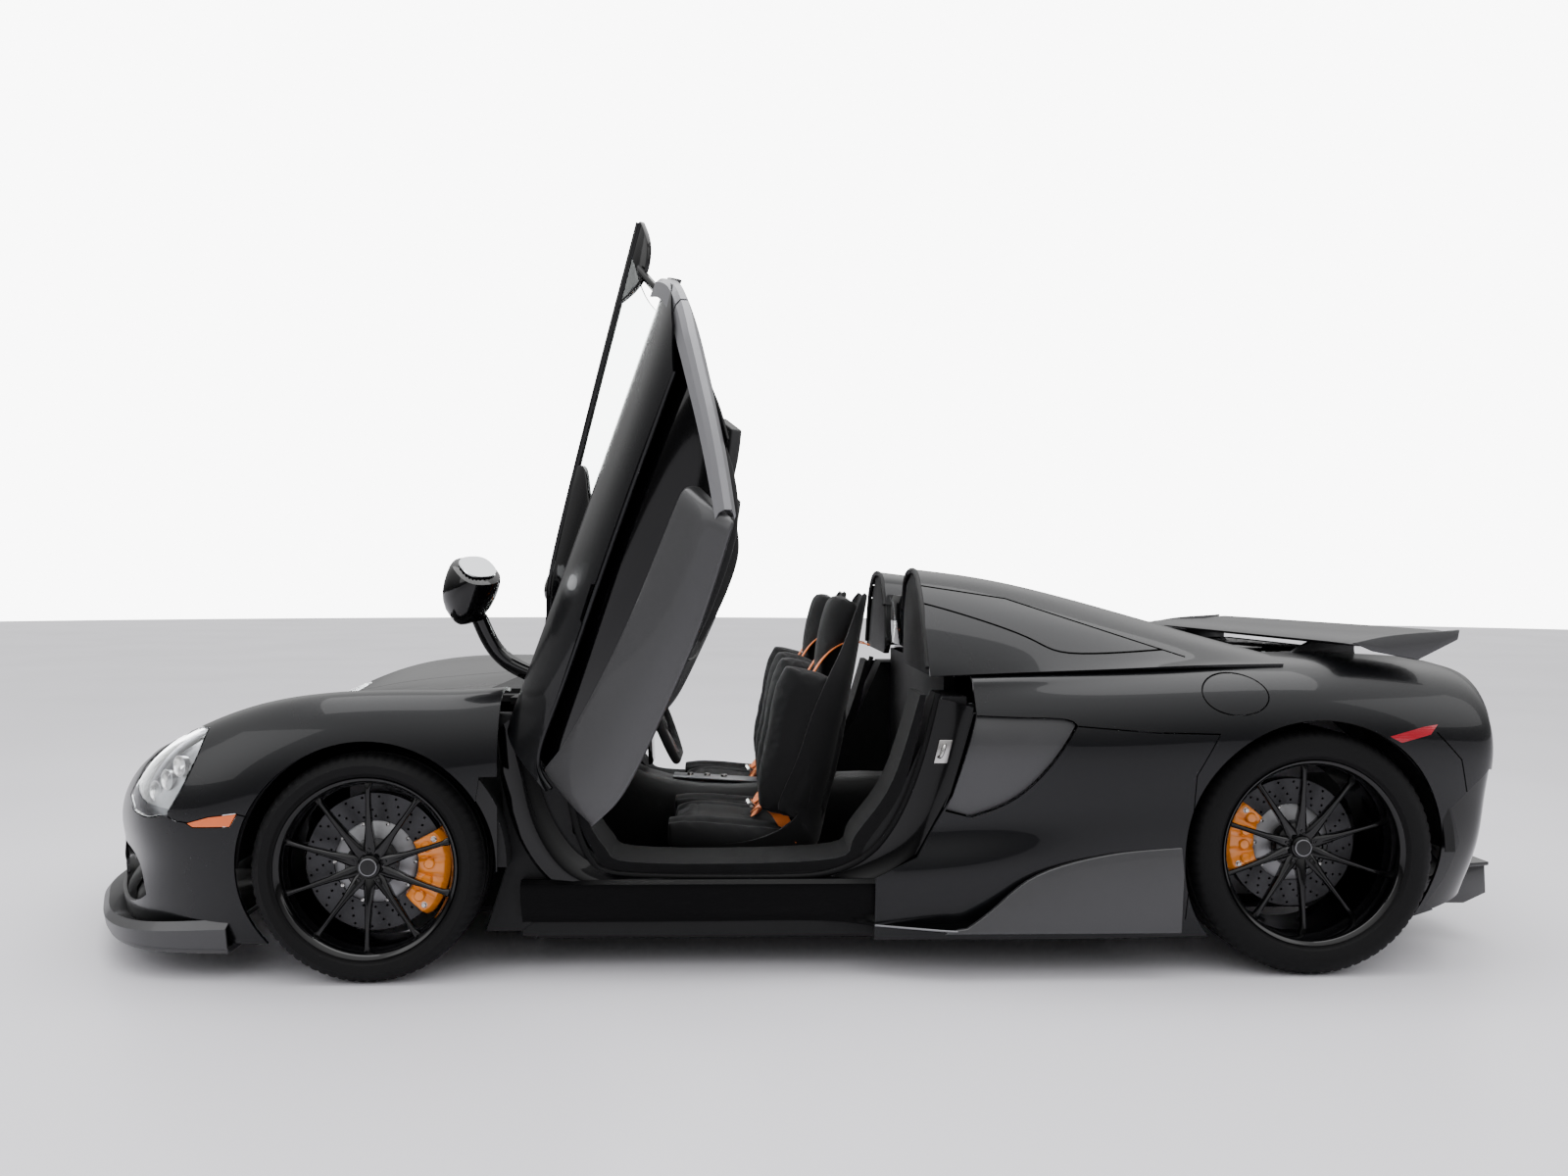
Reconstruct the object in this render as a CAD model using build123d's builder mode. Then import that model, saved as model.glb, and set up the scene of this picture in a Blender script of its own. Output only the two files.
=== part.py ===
"""Open-top two-seat supercar with a carbon tub, a mid engine and doors that swing up and out.

Frame: +X towards the tail, +Y to the car's right, +Z up; the origin is on the ground, below the
middle of the length and of the width. Millimetres. The doors are modelled shut and then swung open.
Paired pieces are modelled on the right side and mirrored to the left.
"""
import os
from math import cos, radians, sin

from build123d import *

# ---- driving dimensions -------------------------------------------------------------------------
LENGTH = 4604
WHEELBASE = 2670
FRONT_OVERHANG = 1087
FLOOR_HEIGHT = 105
SKIN = 14                      # thickness of the body panels
SHUT_GAP = 6                   # gap between a panel that opens and its neighbours
CORNER = 45                    # rounding of the body's edges

FRONT_TYRE_RADIUS = 320
FRONT_TYRE_WIDTH = 228
FRONT_RIM_RADIUS = 247
FRONT_TRACK = 1680
REAR_TYRE_RADIUS = 353
REAR_TYRE_WIDTH = 288
REAR_RIM_RADIUS = 260
REAR_TRACK = 1600
SPOKES = 10
FRONT_DISC_RADIUS = 195
REAR_DISC_RADIUS = 190
DISC_THICKNESS = 32
SPINDLE_RADIUS = 28
SPINDLE_CLEARANCE = 0.05
ARCH_GAP = 34                  # from the tyre to the lip of the body
LINER_GAP = 60                 # from the tyre to the arch liner, which the steered tyre needs
LINER_WALL = 3
WELL_INNER = 545               # inner face of the wheel wells, from the middle of the car

CABIN_HALF_WIDTH = 640
SILL_HALF_WIDTH = 850
SILL_HEIGHT = 300
TUB_WALL = 30
SEAT_SPACING = 740
SEAT_WIDTH = 490

DOOR_FRONT = -852              # shut line between fender and door, at the waist
DOOR_REAR = 470                # tip of the door, at the waist
DOOR_HINGE = (-720, 700, 876)  # a point on the right door's hinge axis
DOOR_AXIS = (0.332, -0.756, 0.564)
DOOR_OPENING = 73

STEERING_PIVOT = 750           # distance of the steering axis from the middle of the car
LID_FRONT = -1890
LID_REAR = -1010
LID_HALF_WIDTH = 430
COWL_HALF_WIDTH = 560

NOSE = -LENGTH / 2
TAIL = LENGTH / 2
FRONT_AXLE = NOSE + FRONT_OVERHANG
REAR_AXLE = FRONT_AXLE + WHEELBASE
DECK_FRONT = 376               # front of the tonneau, behind the seats
DECK_REAR = 1160               # where the tonneau meets the engine cover

os.makedirs("parts", exist_ok=True)


def save(part, label):
    """Label one finished piece and write it."""
    part.label = label
    export_step(part, f"parts/{label}.step")


def mirrored(part):
    """The same piece on the other side of the car."""
    return part.mirror(Plane.XZ)


def pair(part):
    """A piece of the right side with its twin on the left."""
    return Compound(children=list(part.solids()) + list(mirrored(part).solids()))


# ---- body form ----------------------------------------------------------------------------------
# Each station gives x, then half width and height of the sill corner, the waist, the shoulder and
# the flat of the bonnet or deck.
def body_section(x, low, waist, shoulder, top, inset):
    """A closed cross-section of the body at x, moved inwards by inset."""
    right = [(low[0] - inset, low[1] + inset)]
    right += [(y - inset, z - inset) for y, z in (waist, shoulder, top)]
    left = [(-y, z) for y, z in reversed(right)]
    with BuildSketch(Plane((x, 0, 0), x_dir=(0, 1, 0), z_dir=(1, 0, 0))) as section:
        with BuildLine():
            Polyline(*right, *left, close=True)
        make_face()
        chamfer(section.vertices().group_by(Axis.Y)[1:-1], length=CORNER - inset)
    return section.sketch.face()


FRONT_STATIONS = [
    (NOSE + 22, (230, 150), (300, 320), (265, 470), (120, 505)),
    (NOSE + 110, (400, 125), (470, 340), (420, 540), (200, 590)),
    (NOSE + 330, (600, 110), (690, 400), (640, 640), (300, 670)),
    (NOSE + 660, (790, 105), (885, 430), (810, 730), (360, 705)),
    (FRONT_AXLE, (880, 105), (955, 520), (860, 800), (470, 725)),
    (DOOR_FRONT - SHUT_GAP, (880, 105), (935, 560), (850, 810), (560, 800)),
]
REAR_STATIONS = [
    (DOOR_REAR - 90, (880, 105), (940, 560), (850, 835), (560, 860)),
    (DOOR_REAR + 430, (880, 105), (955, 600), (840, 850), (560, 880)),
    (REAR_AXLE, (880, 110), (960, 640), (860, 850), (560, 890)),
    (TAIL - 420, (820, 140), (915, 600), (820, 860), (520, 900)),
    (TAIL - 160, (700, 190), (800, 560), (740, 830), (480, 880)),
    (TAIL - 40, (560, 230), (640, 520), (600, 780), (400, 830)),
]


def body_blank(stations, inset=0.0, shift=0.0):
    """The solid form through the stations; shift moves it along the car."""
    with BuildPart() as blank:
        loft([body_section(*station, inset=inset) for station in stations], ruled=True)
    return blank.part.moved(Location((shift, 0, 0)))




def side_prism(points, inner, outer):
    """A prism on both sides of the car: an outline in side view, from inner to outer half width."""
    with BuildPart() as prism:
        with BuildSketch(Plane.XZ.offset(-outer)):
            with BuildLine():
                Polyline(*points, close=True)
            make_face()
        extrude(amount=outer - inner)
    return pair(prism.part)


def plan_prism(points, low, high):
    """A prism from an outline in plan view, between two heights."""
    with BuildPart() as prism:
        with BuildSketch(Plane.XY.offset(low)):
            with BuildLine():
                Polyline(*points, close=True)
            make_face()
        extrude(amount=high - low)
    return prism.part


def block(x, y, z):
    """A block between two limits along each axis."""
    with BuildPart() as solid:
        with Locations(((x[0] + x[1]) / 2, (y[0] + y[1]) / 2, (z[0] + z[1]) / 2)):
            Box(x[1] - x[0], y[1] - y[0], z[1] - z[0])
    return solid.part


def axle_drum(axle, height, radius, inner, outer):
    """A drum round an axle line on both sides, from inner to outer half width."""
    with BuildPart() as drum:
        with BuildSketch(Plane.XZ.offset(-outer)):
            with Locations((axle, height)):
                Circle(radius)
        extrude(amount=outer - inner)
    return pair(drum.part)


front_arch = axle_drum(FRONT_AXLE, FRONT_TYRE_RADIUS, FRONT_TYRE_RADIUS + ARCH_GAP, 900, 1000)
rear_arch = axle_drum(REAR_AXLE, REAR_TYRE_RADIUS, REAR_TYRE_RADIUS + ARCH_GAP, 900, 1000)
LINER_OUTER = 925
front_well = axle_drum(FRONT_AXLE, FRONT_TYRE_RADIUS,
                       FRONT_TYRE_RADIUS + LINER_GAP + LINER_WALL, WELL_INNER, LINER_OUTER)
rear_well = axle_drum(REAR_AXLE, REAR_TYRE_RADIUS,
                      REAR_TYRE_RADIUS + LINER_GAP + LINER_WALL, WELL_INNER, LINER_OUTER)

front_shell = body_blank(FRONT_STATIONS) - body_blank(FRONT_STATIONS, SKIN, SKIN)
rear_blank = body_blank(REAR_STATIONS)
rear_shell = rear_blank - body_blank(REAR_STATIONS, SKIN, -SKIN)

# ---- front panels -------------------------------------------------------------------------------
BUMPER_REAR = -1650
HEADLIGHT_OUTLINE = [(-1990, 590), (-1880, 700), (-1730, 655), (-1700, 600)]
lid_outline = [
    (LID_FRONT, -LID_HALF_WIDTH * 0.8),
    (LID_FRONT, LID_HALF_WIDTH * 0.8),
    (-1500, LID_HALF_WIDTH),
    (LID_REAR, LID_HALF_WIDTH * 1.15),
    (LID_REAR, -LID_HALF_WIDTH * 1.15),
    (-1500, -LID_HALF_WIDTH),
]
lid_hole = plan_prism(lid_outline, 600, 1000)
with BuildPart() as lid_form:
    with BuildSketch(Plane.XY.offset(600)):
        with BuildLine():
            Polyline(*lid_outline, close=True)
        make_face()
        offset(amount=-SHUT_GAP, kind=Kind.INTERSECTION)
    extrude(amount=400)
lamp_hole = side_prism(HEADLIGHT_OUTLINE, 480, 1000)
bumper_zone = block((NOSE - 10, BUMPER_REAR), (-1000, 1000), (0, 1000))
behind_wheel = block((FRONT_AXLE, DOOR_FRONT), (-1000, 1000), (0, 575))

with BuildPart() as front_bumper:
    add(front_shell & bumper_zone)
    add(lid_hole, mode=Mode.SUBTRACT)
    add(lamp_hole, mode=Mode.SUBTRACT)
    add(front_well, mode=Mode.SUBTRACT)
    add(front_arch, mode=Mode.SUBTRACT)
    with Locations((NOSE + 200, 0, 230)):
        Box(500, 520, 120, mode=Mode.SUBTRACT)
    with Locations((NOSE + 400, 640, 300), (NOSE + 400, -640, 300)):
        Box(500, 240, 200, mode=Mode.SUBTRACT)
save(front_bumper.part, "front_bumper")

with BuildPart() as front_fenders:
    add(front_shell - bumper_zone)
    add(block((BUMPER_REAR, DOOR_FRONT), (-860, 860), (0, 200)), mode=Mode.SUBTRACT)
    add(block((LID_REAR, DOOR_FRONT), (-COWL_HALF_WIDTH, COWL_HALF_WIDTH), (600, 900)), mode=Mode.SUBTRACT)
    add(lid_hole, mode=Mode.SUBTRACT)
    add(lamp_hole, mode=Mode.SUBTRACT)
    add(front_well, mode=Mode.SUBTRACT)
    add(front_arch, mode=Mode.SUBTRACT)
    add(behind_wheel, mode=Mode.SUBTRACT)
save(front_fenders.part, "front_fenders")

front_lid = front_shell & lid_form.part
save(front_lid, "front_lid")

headlights = front_shell & side_prism(HEADLIGHT_OUTLINE, 480, 1000)
save(headlights, "headlights")

SPLITTER_BOTTOM = 76
SPLITTER_TOP = 98
with BuildPart() as front_splitter:
    with BuildSketch(Plane.XY.offset(SPLITTER_BOTTOM)):
        with BuildLine():
            Polyline((-1600, 905), (-1750, 880), (-1950, 770), (-2120, 620), (-2230, 450),
                     (NOSE, 180), (NOSE, 0), (-1600, 0), close=True)
        make_face()
        mirror(about=Plane.XZ)
    extrude(amount=SPLITTER_TOP - SPLITTER_BOTTOM)
    with BuildSketch(Plane.XY.offset(SPLITTER_TOP)):
        with Locations((-1900, 0)):
            Rectangle(400, 900)
    extrude(amount=25)
    add(front_bumper.part, mode=Mode.SUBTRACT)
save(front_splitter.part, "front_splitter")


# ---- wheels -------------------------------------------------------------------------------------
def tyre(radius, rim_radius, width):
    """A tyre round the Y axis, its outer side towards +Y."""
    half = width / 2
    shoulder = 24
    with BuildPart() as rubber:
        with BuildSketch(Plane.XY):
            with BuildLine():
                Polyline((rim_radius, -half + 18), (rim_radius, half - 18),
                         (rim_radius + 12, half - 18), (rim_radius + 32, half),
                         (radius - shoulder, half - 6), (radius, half - shoulder - 14),
                         (radius, -half + shoulder + 14), (radius - shoulder, -half + 6),
                         (rim_radius + 32, -half), (rim_radius + 12, -half + 18), close=True)
            make_face()
        revolve(axis=Axis.Y)
    return rubber.part


def road_wheel(rim_radius, width, disc_radius, disc_middle, face):
    """An alloy wheel with its brake disc, round the Y axis, its outer side towards +Y.

    face is the outer side of the hub and disc_middle the middle of the disc, along the axle.
    """
    seat = width / 2 - 18
    lip = rim_radius + 10
    with BuildPart() as wheel:
        with BuildSketch(Plane.XY):
            with BuildLine():
                Polyline((lip, seat + 10), (rim_radius - 3, seat + 10), (rim_radius - 14, face),
                         (rim_radius - 22, 0), (rim_radius - 16, -seat), (rim_radius - 3, -seat - 10),
                         (lip, -seat - 10), (lip, -seat - 0.3), (rim_radius - 0.3, -seat - 0.3),
                         (rim_radius - 0.3, seat + 0.3), (lip, seat + 0.3), close=True)
            make_face()
        revolve(axis=Axis.Y)
        with BuildSketch(Plane.XZ.offset(-face)):
            with PolarLocations(0, SPOKES):
                Polygon((55, -15), (rim_radius - 12, -8), (rim_radius - 12, 8), (55, 15), align=None)
        extrude(amount=30)
        with BuildSketch(Plane.XZ.offset(-face)):
            Circle(74)
        extrude(amount=face - disc_middle - DISC_THICKNESS / 2)
        with BuildSketch(Plane.XZ.offset(-(disc_middle + DISC_THICKNESS / 2))):
            Circle(disc_radius)
        extrude(amount=DISC_THICKNESS)
        with BuildSketch(Plane.XZ.offset(-face)):
            Circle(SPINDLE_RADIUS + SPINDLE_CLEARANCE)
        extrude(amount=face - disc_middle + DISC_THICKNESS, mode=Mode.SUBTRACT)
    return wheel.part


def upright(rim_radius, disc_radius, disc_middle, face, caliper_angle):
    """The part that carries a wheel: spindle, hub carrier and caliper, round the Y axis."""
    inner = disc_middle - DISC_THICKNESS / 2
    outer = disc_middle + DISC_THICKNESS / 2
    with BuildPart() as carrier:
        with BuildSketch(Plane.XZ.offset(-(inner - 8))):
            Circle(72)
            Rectangle(60, 300)
            with PolarLocations(100, 1, caliper_angle):
                Rectangle(200, 90)
        extrude(amount=34)
        with BuildSketch(Plane.XZ.offset(-(outer + 22))):
            with PolarLocations(disc_radius, 1, caliper_angle):
                Rectangle(130, 200)
            Circle(rim_radius - 28, mode=Mode.INTERSECT)
        extrude(amount=DISC_THICKNESS + 2 * 22 + 20)
        with BuildSketch(Plane.XZ.offset(-(outer + 6))):
            Circle(disc_radius + 6)
        extrude(amount=DISC_THICKNESS + 12, mode=Mode.SUBTRACT)
        with BuildSketch(Plane.XZ.offset(-(face - 6))):
            Circle(SPINDLE_RADIUS)
        extrude(amount=face - 6 - inner + 12)
    return carrier.part


FRONT_FACE = 70
REAR_FACE = 55
FRONT_DISC_MIDDLE = -5
REAR_DISC_MIDDLE = -30
corners = {
    "front": (FRONT_AXLE, FRONT_TRACK, FRONT_TYRE_RADIUS, FRONT_TYRE_WIDTH, FRONT_RIM_RADIUS,
              FRONT_DISC_RADIUS, FRONT_DISC_MIDDLE, FRONT_FACE, 0),
    "rear": (REAR_AXLE, REAR_TRACK, REAR_TYRE_RADIUS, REAR_TYRE_WIDTH, REAR_RIM_RADIUS,
             REAR_DISC_RADIUS, REAR_DISC_MIDDLE, REAR_FACE, 180),
}
for end, (axle, track, radius, width, rim, disc, disc_middle, face, caliper) in corners.items():
    centre = Location((axle, track / 2, radius))
    right_tyre = tyre(radius, rim, width).moved(centre)
    right_wheel = road_wheel(rim, width, disc, disc_middle, face).moved(centre)
    right_upright = upright(rim, disc, disc_middle, face, caliper).moved(centre)
    save(right_tyre, f"{end}_right_tyre")
    save(mirrored(right_tyre), f"{end}_left_tyre")
    save(right_wheel, f"{end}_right_wheel")
    save(mirrored(right_wheel), f"{end}_left_wheel")
    if end == "front":
        save(right_upright, "front_right_upright")
        save(mirrored(right_upright), "front_left_upright")
    else:
        save(pair(right_upright), "rear_uprights")

# ---- wheel wells --------------------------------------------------------------------------------
with BuildPart() as liner:
    for axle, height, lip, ceiling in (
        (FRONT_AXLE, FRONT_TYRE_RADIUS, FRONT_TYRE_RADIUS + ARCH_GAP, FRONT_TYRE_RADIUS + LINER_GAP),
        (REAR_AXLE, REAR_TYRE_RADIUS, REAR_TYRE_RADIUS + ARCH_GAP, REAR_TYRE_RADIUS + LINER_GAP),
    ):
        with BuildSketch(Plane((axle, 0, height), x_dir=(1, 0, 0), z_dir=(0, 0, 1))):
            with BuildLine():
                Polyline((lip, LINER_OUTER), (ceiling + LINER_WALL, LINER_OUTER),
                         (ceiling + LINER_WALL, WELL_INNER), (ceiling, WELL_INNER),
                         (ceiling, LINER_OUTER - LINER_WALL), (lip, LINER_OUTER - LINER_WALL), close=True)
            make_face()
        revolve(axis=Axis((axle, 0, height), (0, -1, 0)), revolution_arc=180)
save(pair(liner.part), "arch_liners")

PIN_RADIUS = 12
PIN_START, PIN_END = -245, -120      # along the hinge axis, from its point above the cowl
hinge_line = Plane(Vector(*DOOR_HINGE) + Vector(*DOOR_AXIS).normalized() * PIN_START,
                   z_dir=DOOR_AXIS)


def hinge_rod(radius):
    """A rod along the right door's hinge."""
    with BuildPart() as rod:
        with BuildSketch(hinge_line):
            Circle(radius)
        extrude(amount=PIN_END - PIN_START)
    return rod.part


hinge_bore = hinge_rod(PIN_RADIUS + 0.3)

# ---- tub ----------------------------------------------------------------------------------------
TUB_FRONT = -800
TUB_REAR = 470
TUB_BOTTOM = FLOOR_HEIGHT
DASH_TOP = 760
BULKHEAD_TOP = 850
DECK_SIDE = 790                # top of the bulkhead's sides, below the shut door's glass
across = (-CABIN_HALF_WIDTH, CABIN_HALF_WIDTH)
with BuildPart() as tub:
    add(side_prism([(TUB_FRONT, TUB_BOTTOM), (TUB_REAR, TUB_BOTTOM), (TUB_REAR, DECK_SIDE),
                    (400, DECK_SIDE), (300, 560), (150, 340), (60, SILL_HEIGHT), (-560, SILL_HEIGHT),
                    (-660, 400), (-700, DASH_TOP), (TUB_FRONT, DASH_TOP)],
                   CABIN_HALF_WIDTH, SILL_HALF_WIDTH))
    add(block((TUB_FRONT, TUB_REAR), across, (TUB_BOTTOM, TUB_BOTTOM + TUB_WALL)))
    add(block((TUB_FRONT, TUB_FRONT + TUB_WALL), across, (TUB_BOTTOM, DASH_TOP)))
    add(block((TUB_REAR - TUB_WALL, TUB_REAR), across, (TUB_BOTTOM, BULKHEAD_TOP)))
    add(hinge_bore, mode=Mode.SUBTRACT)
    add(mirrored(hinge_bore), mode=Mode.SUBTRACT)
save(tub.part, "tub")

with BuildPart() as underbody:
    with BuildSketch(Plane.XY.offset(FLOOR_HEIGHT - 15)):
        with Locations(((FRONT_AXLE + 450 + REAR_AXLE - 470) / 2, 0)):
            Rectangle(REAR_AXLE - 470 - FRONT_AXLE - 450, 1640)
        with Locations((-1047, 0), (1308, 0)):
            Rectangle(1104, 2 * WELL_INNER - 20)
    extrude(amount=15)
save(underbody.part, "underbody")

# ---- windscreen and cowl ------------------------------------------------------------------------
SCREEN_FOOT = 780
SCREEN_TOP = 1136
SCREEN_GLASS = 10


def screen_arc(height, middle, end_x, half_width, near, far):
    """A band that follows the windscreen's curve at one height, from near to far of the glass."""
    with BuildSketch(Plane.XY.offset(height)) as band:
        with BuildLine():
            front = ThreePointArc((end_x + near, -half_width), (middle + near, 0), (end_x + near, half_width))
            back = ThreePointArc((end_x + far, -half_width), (middle + far, 0), (end_x + far, half_width))
            Line(front @ 0, back @ 0)
            Line(front @ 1, back @ 1)
        make_face()
    return band.sketch.face()


FOOT_MIDDLE, FOOT_END, FOOT_HALF = -930, -700, 730
TOP_MIDDLE, TOP_END, TOP_HALF = -420, -345, 545
with BuildPart() as windscreen:
    loft([screen_arc(SCREEN_FOOT, FOOT_MIDDLE, FOOT_END, FOOT_HALF, 0, SCREEN_GLASS),
          screen_arc(SCREEN_TOP, TOP_MIDDLE, TOP_END, TOP_HALF, 0, SCREEN_GLASS)])
save(windscreen.part, "windscreen")

with BuildPart() as windscreen_frame:
    for side in (-1, 1):
        foot = Plane((FOOT_END + 5, side * (FOOT_HALF + 25), SCREEN_FOOT))
        head = Plane((TOP_END + 5, side * (TOP_HALF + 20), SCREEN_TOP))
        with BuildSketch(foot) as pillar_foot:
            Rectangle(90, 50)
        with BuildSketch(head) as pillar_head:
            Rectangle(70, 40)
        loft([pillar_foot.sketch.face(), pillar_head.sketch.face()])
    with BuildSketch(Plane.XY.offset(SCREEN_TOP)):
        add(screen_arc(0, TOP_MIDDLE, TOP_END, TOP_HALF + 40, -20, 60))
    extrude(amount=26)
    for side in (-1, 1):
        with Locations((-772, side * 819, 788)):
            Box(60, 56, 56)
    add(hinge_bore, mode=Mode.SUBTRACT)
    add(mirrored(hinge_bore), mode=Mode.SUBTRACT)
save(windscreen_frame.part, "windscreen_frame")

with BuildPart() as cowl:
    add(block((TUB_FRONT - 50, TUB_FRONT + 90), (-790, 790), (DASH_TOP, SCREEN_FOOT)))
    add(block((LID_REAR + SHUT_GAP, TUB_FRONT - 50), (-COWL_HALF_WIDTH, COWL_HALF_WIDTH), (745, 765)))
    add(block((-960, TUB_FRONT - 50), (-500, 500), (765, SCREEN_FOOT)))
    add(front_fenders.part, mode=Mode.SUBTRACT)
save(cowl.part, "cowl")

# ---- doors --------------------------------------------------------------------------------------
# Modelled shut on the right side, then swung up about the inclined hinge.
TENDON_OUTLINE = [(DOOR_FRONT, 760), (DOOR_FRONT, 600), (-500, 640), (300, 690), (DOOR_REAR, 745),
                  (440, 800), (-300, 815), (-700, 800)]
PANEL_OUTLINE = [(DOOR_FRONT + 2, 590), (-846, 560), (-776, 289), (58, 279), (296, 354),
                 (395, 520), (430, 640), (300, 680), (-500, 630)]
hinge = Axis(DOOR_HINGE, DOOR_AXIS)


def opened(part):
    """A piece of the right door, swung from shut to open."""
    return part.rotate(hinge, DOOR_OPENING)


def outline_plate(points, inner, outer):
    """A plate on the right side from an outline in side view."""
    with BuildPart() as plate:
        with BuildSketch(Plane.XZ.offset(-outer)):
            with BuildLine():
                Polyline(*points, close=True)
            make_face()
        extrude(amount=outer - inner)
    return plate.part


door_form = body_blank([
    (DOOR_FRONT, (880, 105), (935, 560), (850, 810), (560, 800)),
    (-190, (880, 105), (930, 560), (848, 822), (560, 830)),
    (DOOR_REAR + 2, (880, 105), (941, 562), (849, 836), (560, 861)),
])
door_skin = door_form & outline_plate(TENDON_OUTLINE, SILL_HALF_WIDTH + 25, 1000)
BELT_TOP = 808.5
with BuildPart() as door_panel_form:
    add(outline_plate(PANEL_OUTLINE, SILL_HALF_WIDTH + 5, SILL_HALF_WIDTH + 25))
    add(block((-690, 370), (815, SILL_HALF_WIDTH + 25), (794, BELT_TOP)))
    add(block((-690, 410), (SILL_HALF_WIDTH + 5, SILL_HALF_WIDTH + 25), (600, BELT_TOP)))
    add(hinge_rod(PIN_RADIUS))
door_panel = door_panel_form.part - door_skin

# The side glass stands on the belt, curved in side view along its upper edge.
with BuildPart() as door_glass:
    with BuildSketch(Plane.XZ.offset(-843)):
        with BuildLine():
            upper = Spline((-560, BELT_TOP), (-300, 905), (60, 975), (360, 1021), (530, 1044))
            Polyline(upper @ 1, (470, 940), (368, BELT_TOP), upper @ 0)
        make_face()
    extrude(amount=5)
with BuildPart() as door_mirror:
    with Locations((-600, 985, 930)):
        Box(95, 160, 95)
    fillet(door_mirror.edges().filter_by(Axis.X), 30)
    with Locations((-600, 880, (BELT_TOP + 890) / 2)):
        Box(50, 80, 890 - BELT_TOP)
door_parts = {
    "door_skin": door_skin,
    "door_panel": door_panel,
    "door_glass": door_glass.part,
    "door_mirror": door_mirror.part,
}
for label, piece in door_parts.items():
    right_piece = opened(piece)
    save(right_piece, f"right_{label}")
    save(mirrored(right_piece), f"left_{label}")

# ---- rear panels --------------------------------------------------------------------------------
BUMPER_LINE = 1860
DECK_HALF = 540
rear_bumper_zone = block((BUMPER_LINE, TAIL), (-1000, 1000), (0, 1000))
intake_outline = [(DOOR_REAR + 8, 745), (410, 515), (440, 430), (760, 690), (760, 735)]
intake_hole = side_prism([(440, 752), (380, 500), (440, 430), (760, 690), (760, 735)], 700, 1000)
deck_hole = block((DOOR_REAR - 100, TAIL - 60), (-DECK_HALF, DECK_HALF), (700, 1000))
flap_plane = Plane((1240, 905, 760), x_dir=(1, 0, 0), z_dir=(0, 0.9, 0.43))
with BuildPart() as flap_hole:
    with BuildSketch(flap_plane):
        Ellipse(92 + 4, 62 + 4)
    extrude(amount=60, both=True)
with BuildPart() as flap_form:
    with BuildSketch(flap_plane):
        Ellipse(92, 62)
    extrude(amount=60, both=True)
flap_hinge = Plane(flap_plane.origin - flap_plane.x_dir * 98 - flap_plane.z_dir * 6,
                   x_dir=(1, 0, 0), z_dir=flap_plane.y_dir)
with BuildPart() as flap_barrel:
    with BuildSketch(flap_hinge):
        Circle(6)
    extrude(amount=22, both=True)
with BuildPart() as flap_groove:
    with BuildSketch(flap_hinge):
        Circle(6.3)
    extrude(amount=22.3, both=True)
left_flap_hole = mirrored(flap_hole.part) + mirrored(flap_groove.part)

with BuildPart() as rear_quarters:
    add(rear_shell - rear_bumper_zone)
    add(deck_hole, mode=Mode.SUBTRACT)
    add(intake_hole, mode=Mode.SUBTRACT)
    add(rear_well, mode=Mode.SUBTRACT)
    add(rear_arch, mode=Mode.SUBTRACT)
    add(left_flap_hole, mode=Mode.SUBTRACT)
    add(side_prism([(300, 0), (300, 900), (446, 900), (446, 806), (478, 745), (408, 516), (308, 340),
                    (308, 0)], 700, 1000), mode=Mode.SUBTRACT)
    add(block((300, TUB_REAR), (-SILL_HALF_WIDTH - 2, SILL_HALF_WIDTH + 2), (0, 900)), mode=Mode.SUBTRACT)
    add(block((300, BUMPER_LINE), (-860, 860), (0, 260)), mode=Mode.SUBTRACT)
save(rear_quarters.part, "rear_quarters")
fuel_flap = (rear_shell & mirrored(flap_form.part)) - rear_well + mirrored(flap_barrel.part)
save(fuel_flap, "fuel_flap")

light_slots = pair(block((TAIL - 200, TAIL), (235, 565), (690, 708)))
tail_lights = rear_shell & light_slots
save(tail_lights, "tail_lights")

with BuildPart() as rear_bumper:
    add(rear_shell & rear_bumper_zone)
    add(deck_hole, mode=Mode.SUBTRACT)
    add(rear_well, mode=Mode.SUBTRACT)
    add(rear_arch, mode=Mode.SUBTRACT)
    add(block((BUMPER_LINE, TAIL), (-620, 620), (100, 320)), mode=Mode.SUBTRACT)
    add(light_slots, mode=Mode.SUBTRACT)
save(rear_bumper.part, "rear_bumper")

side_intakes = side_prism(intake_outline, 850, 880)
save(side_intakes, "side_intakes")

# ---- sills and tail -----------------------------------------------------------------------------
with BuildPart() as skirt:
    with BuildSketch(Plane.YZ.offset(FRONT_AXLE + 450)):
        with BuildLine():
            Polyline((SILL_HALF_WIDTH, FLOOR_HEIGHT), (SILL_HALF_WIDTH, 255), (885, 262), (930, 240),
                     (965, 110), (965, 92), (870, 92), close=True)
        make_face()
    extrude(amount=REAR_AXLE - 430 - FRONT_AXLE - 450)
    add(rear_quarters.part, mode=Mode.SUBTRACT)
save(pair(skirt.part), "side_skirts")

with BuildPart() as diffuser:
    with BuildSketch(Plane.XZ.offset(-620)):
        with BuildLine():
            Polyline((1860, 92), (1860, 110), (TAIL - 30, 320), (TAIL - 10, 320), (TAIL - 10, 300),
                     (1900, 92), close=True)
        make_face()
    extrude(amount=1240)
    for row in range(-2, 3):
        with BuildSketch(Plane.XZ.offset(-row * 220 - 6)):
            with BuildLine():
                Polyline((1900, 110), (1900, 92), (TAIL - 10, 130), (TAIL - 10, 310), close=True)
            make_face()
        extrude(amount=12)
save(diffuser.part, "diffuser")




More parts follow.
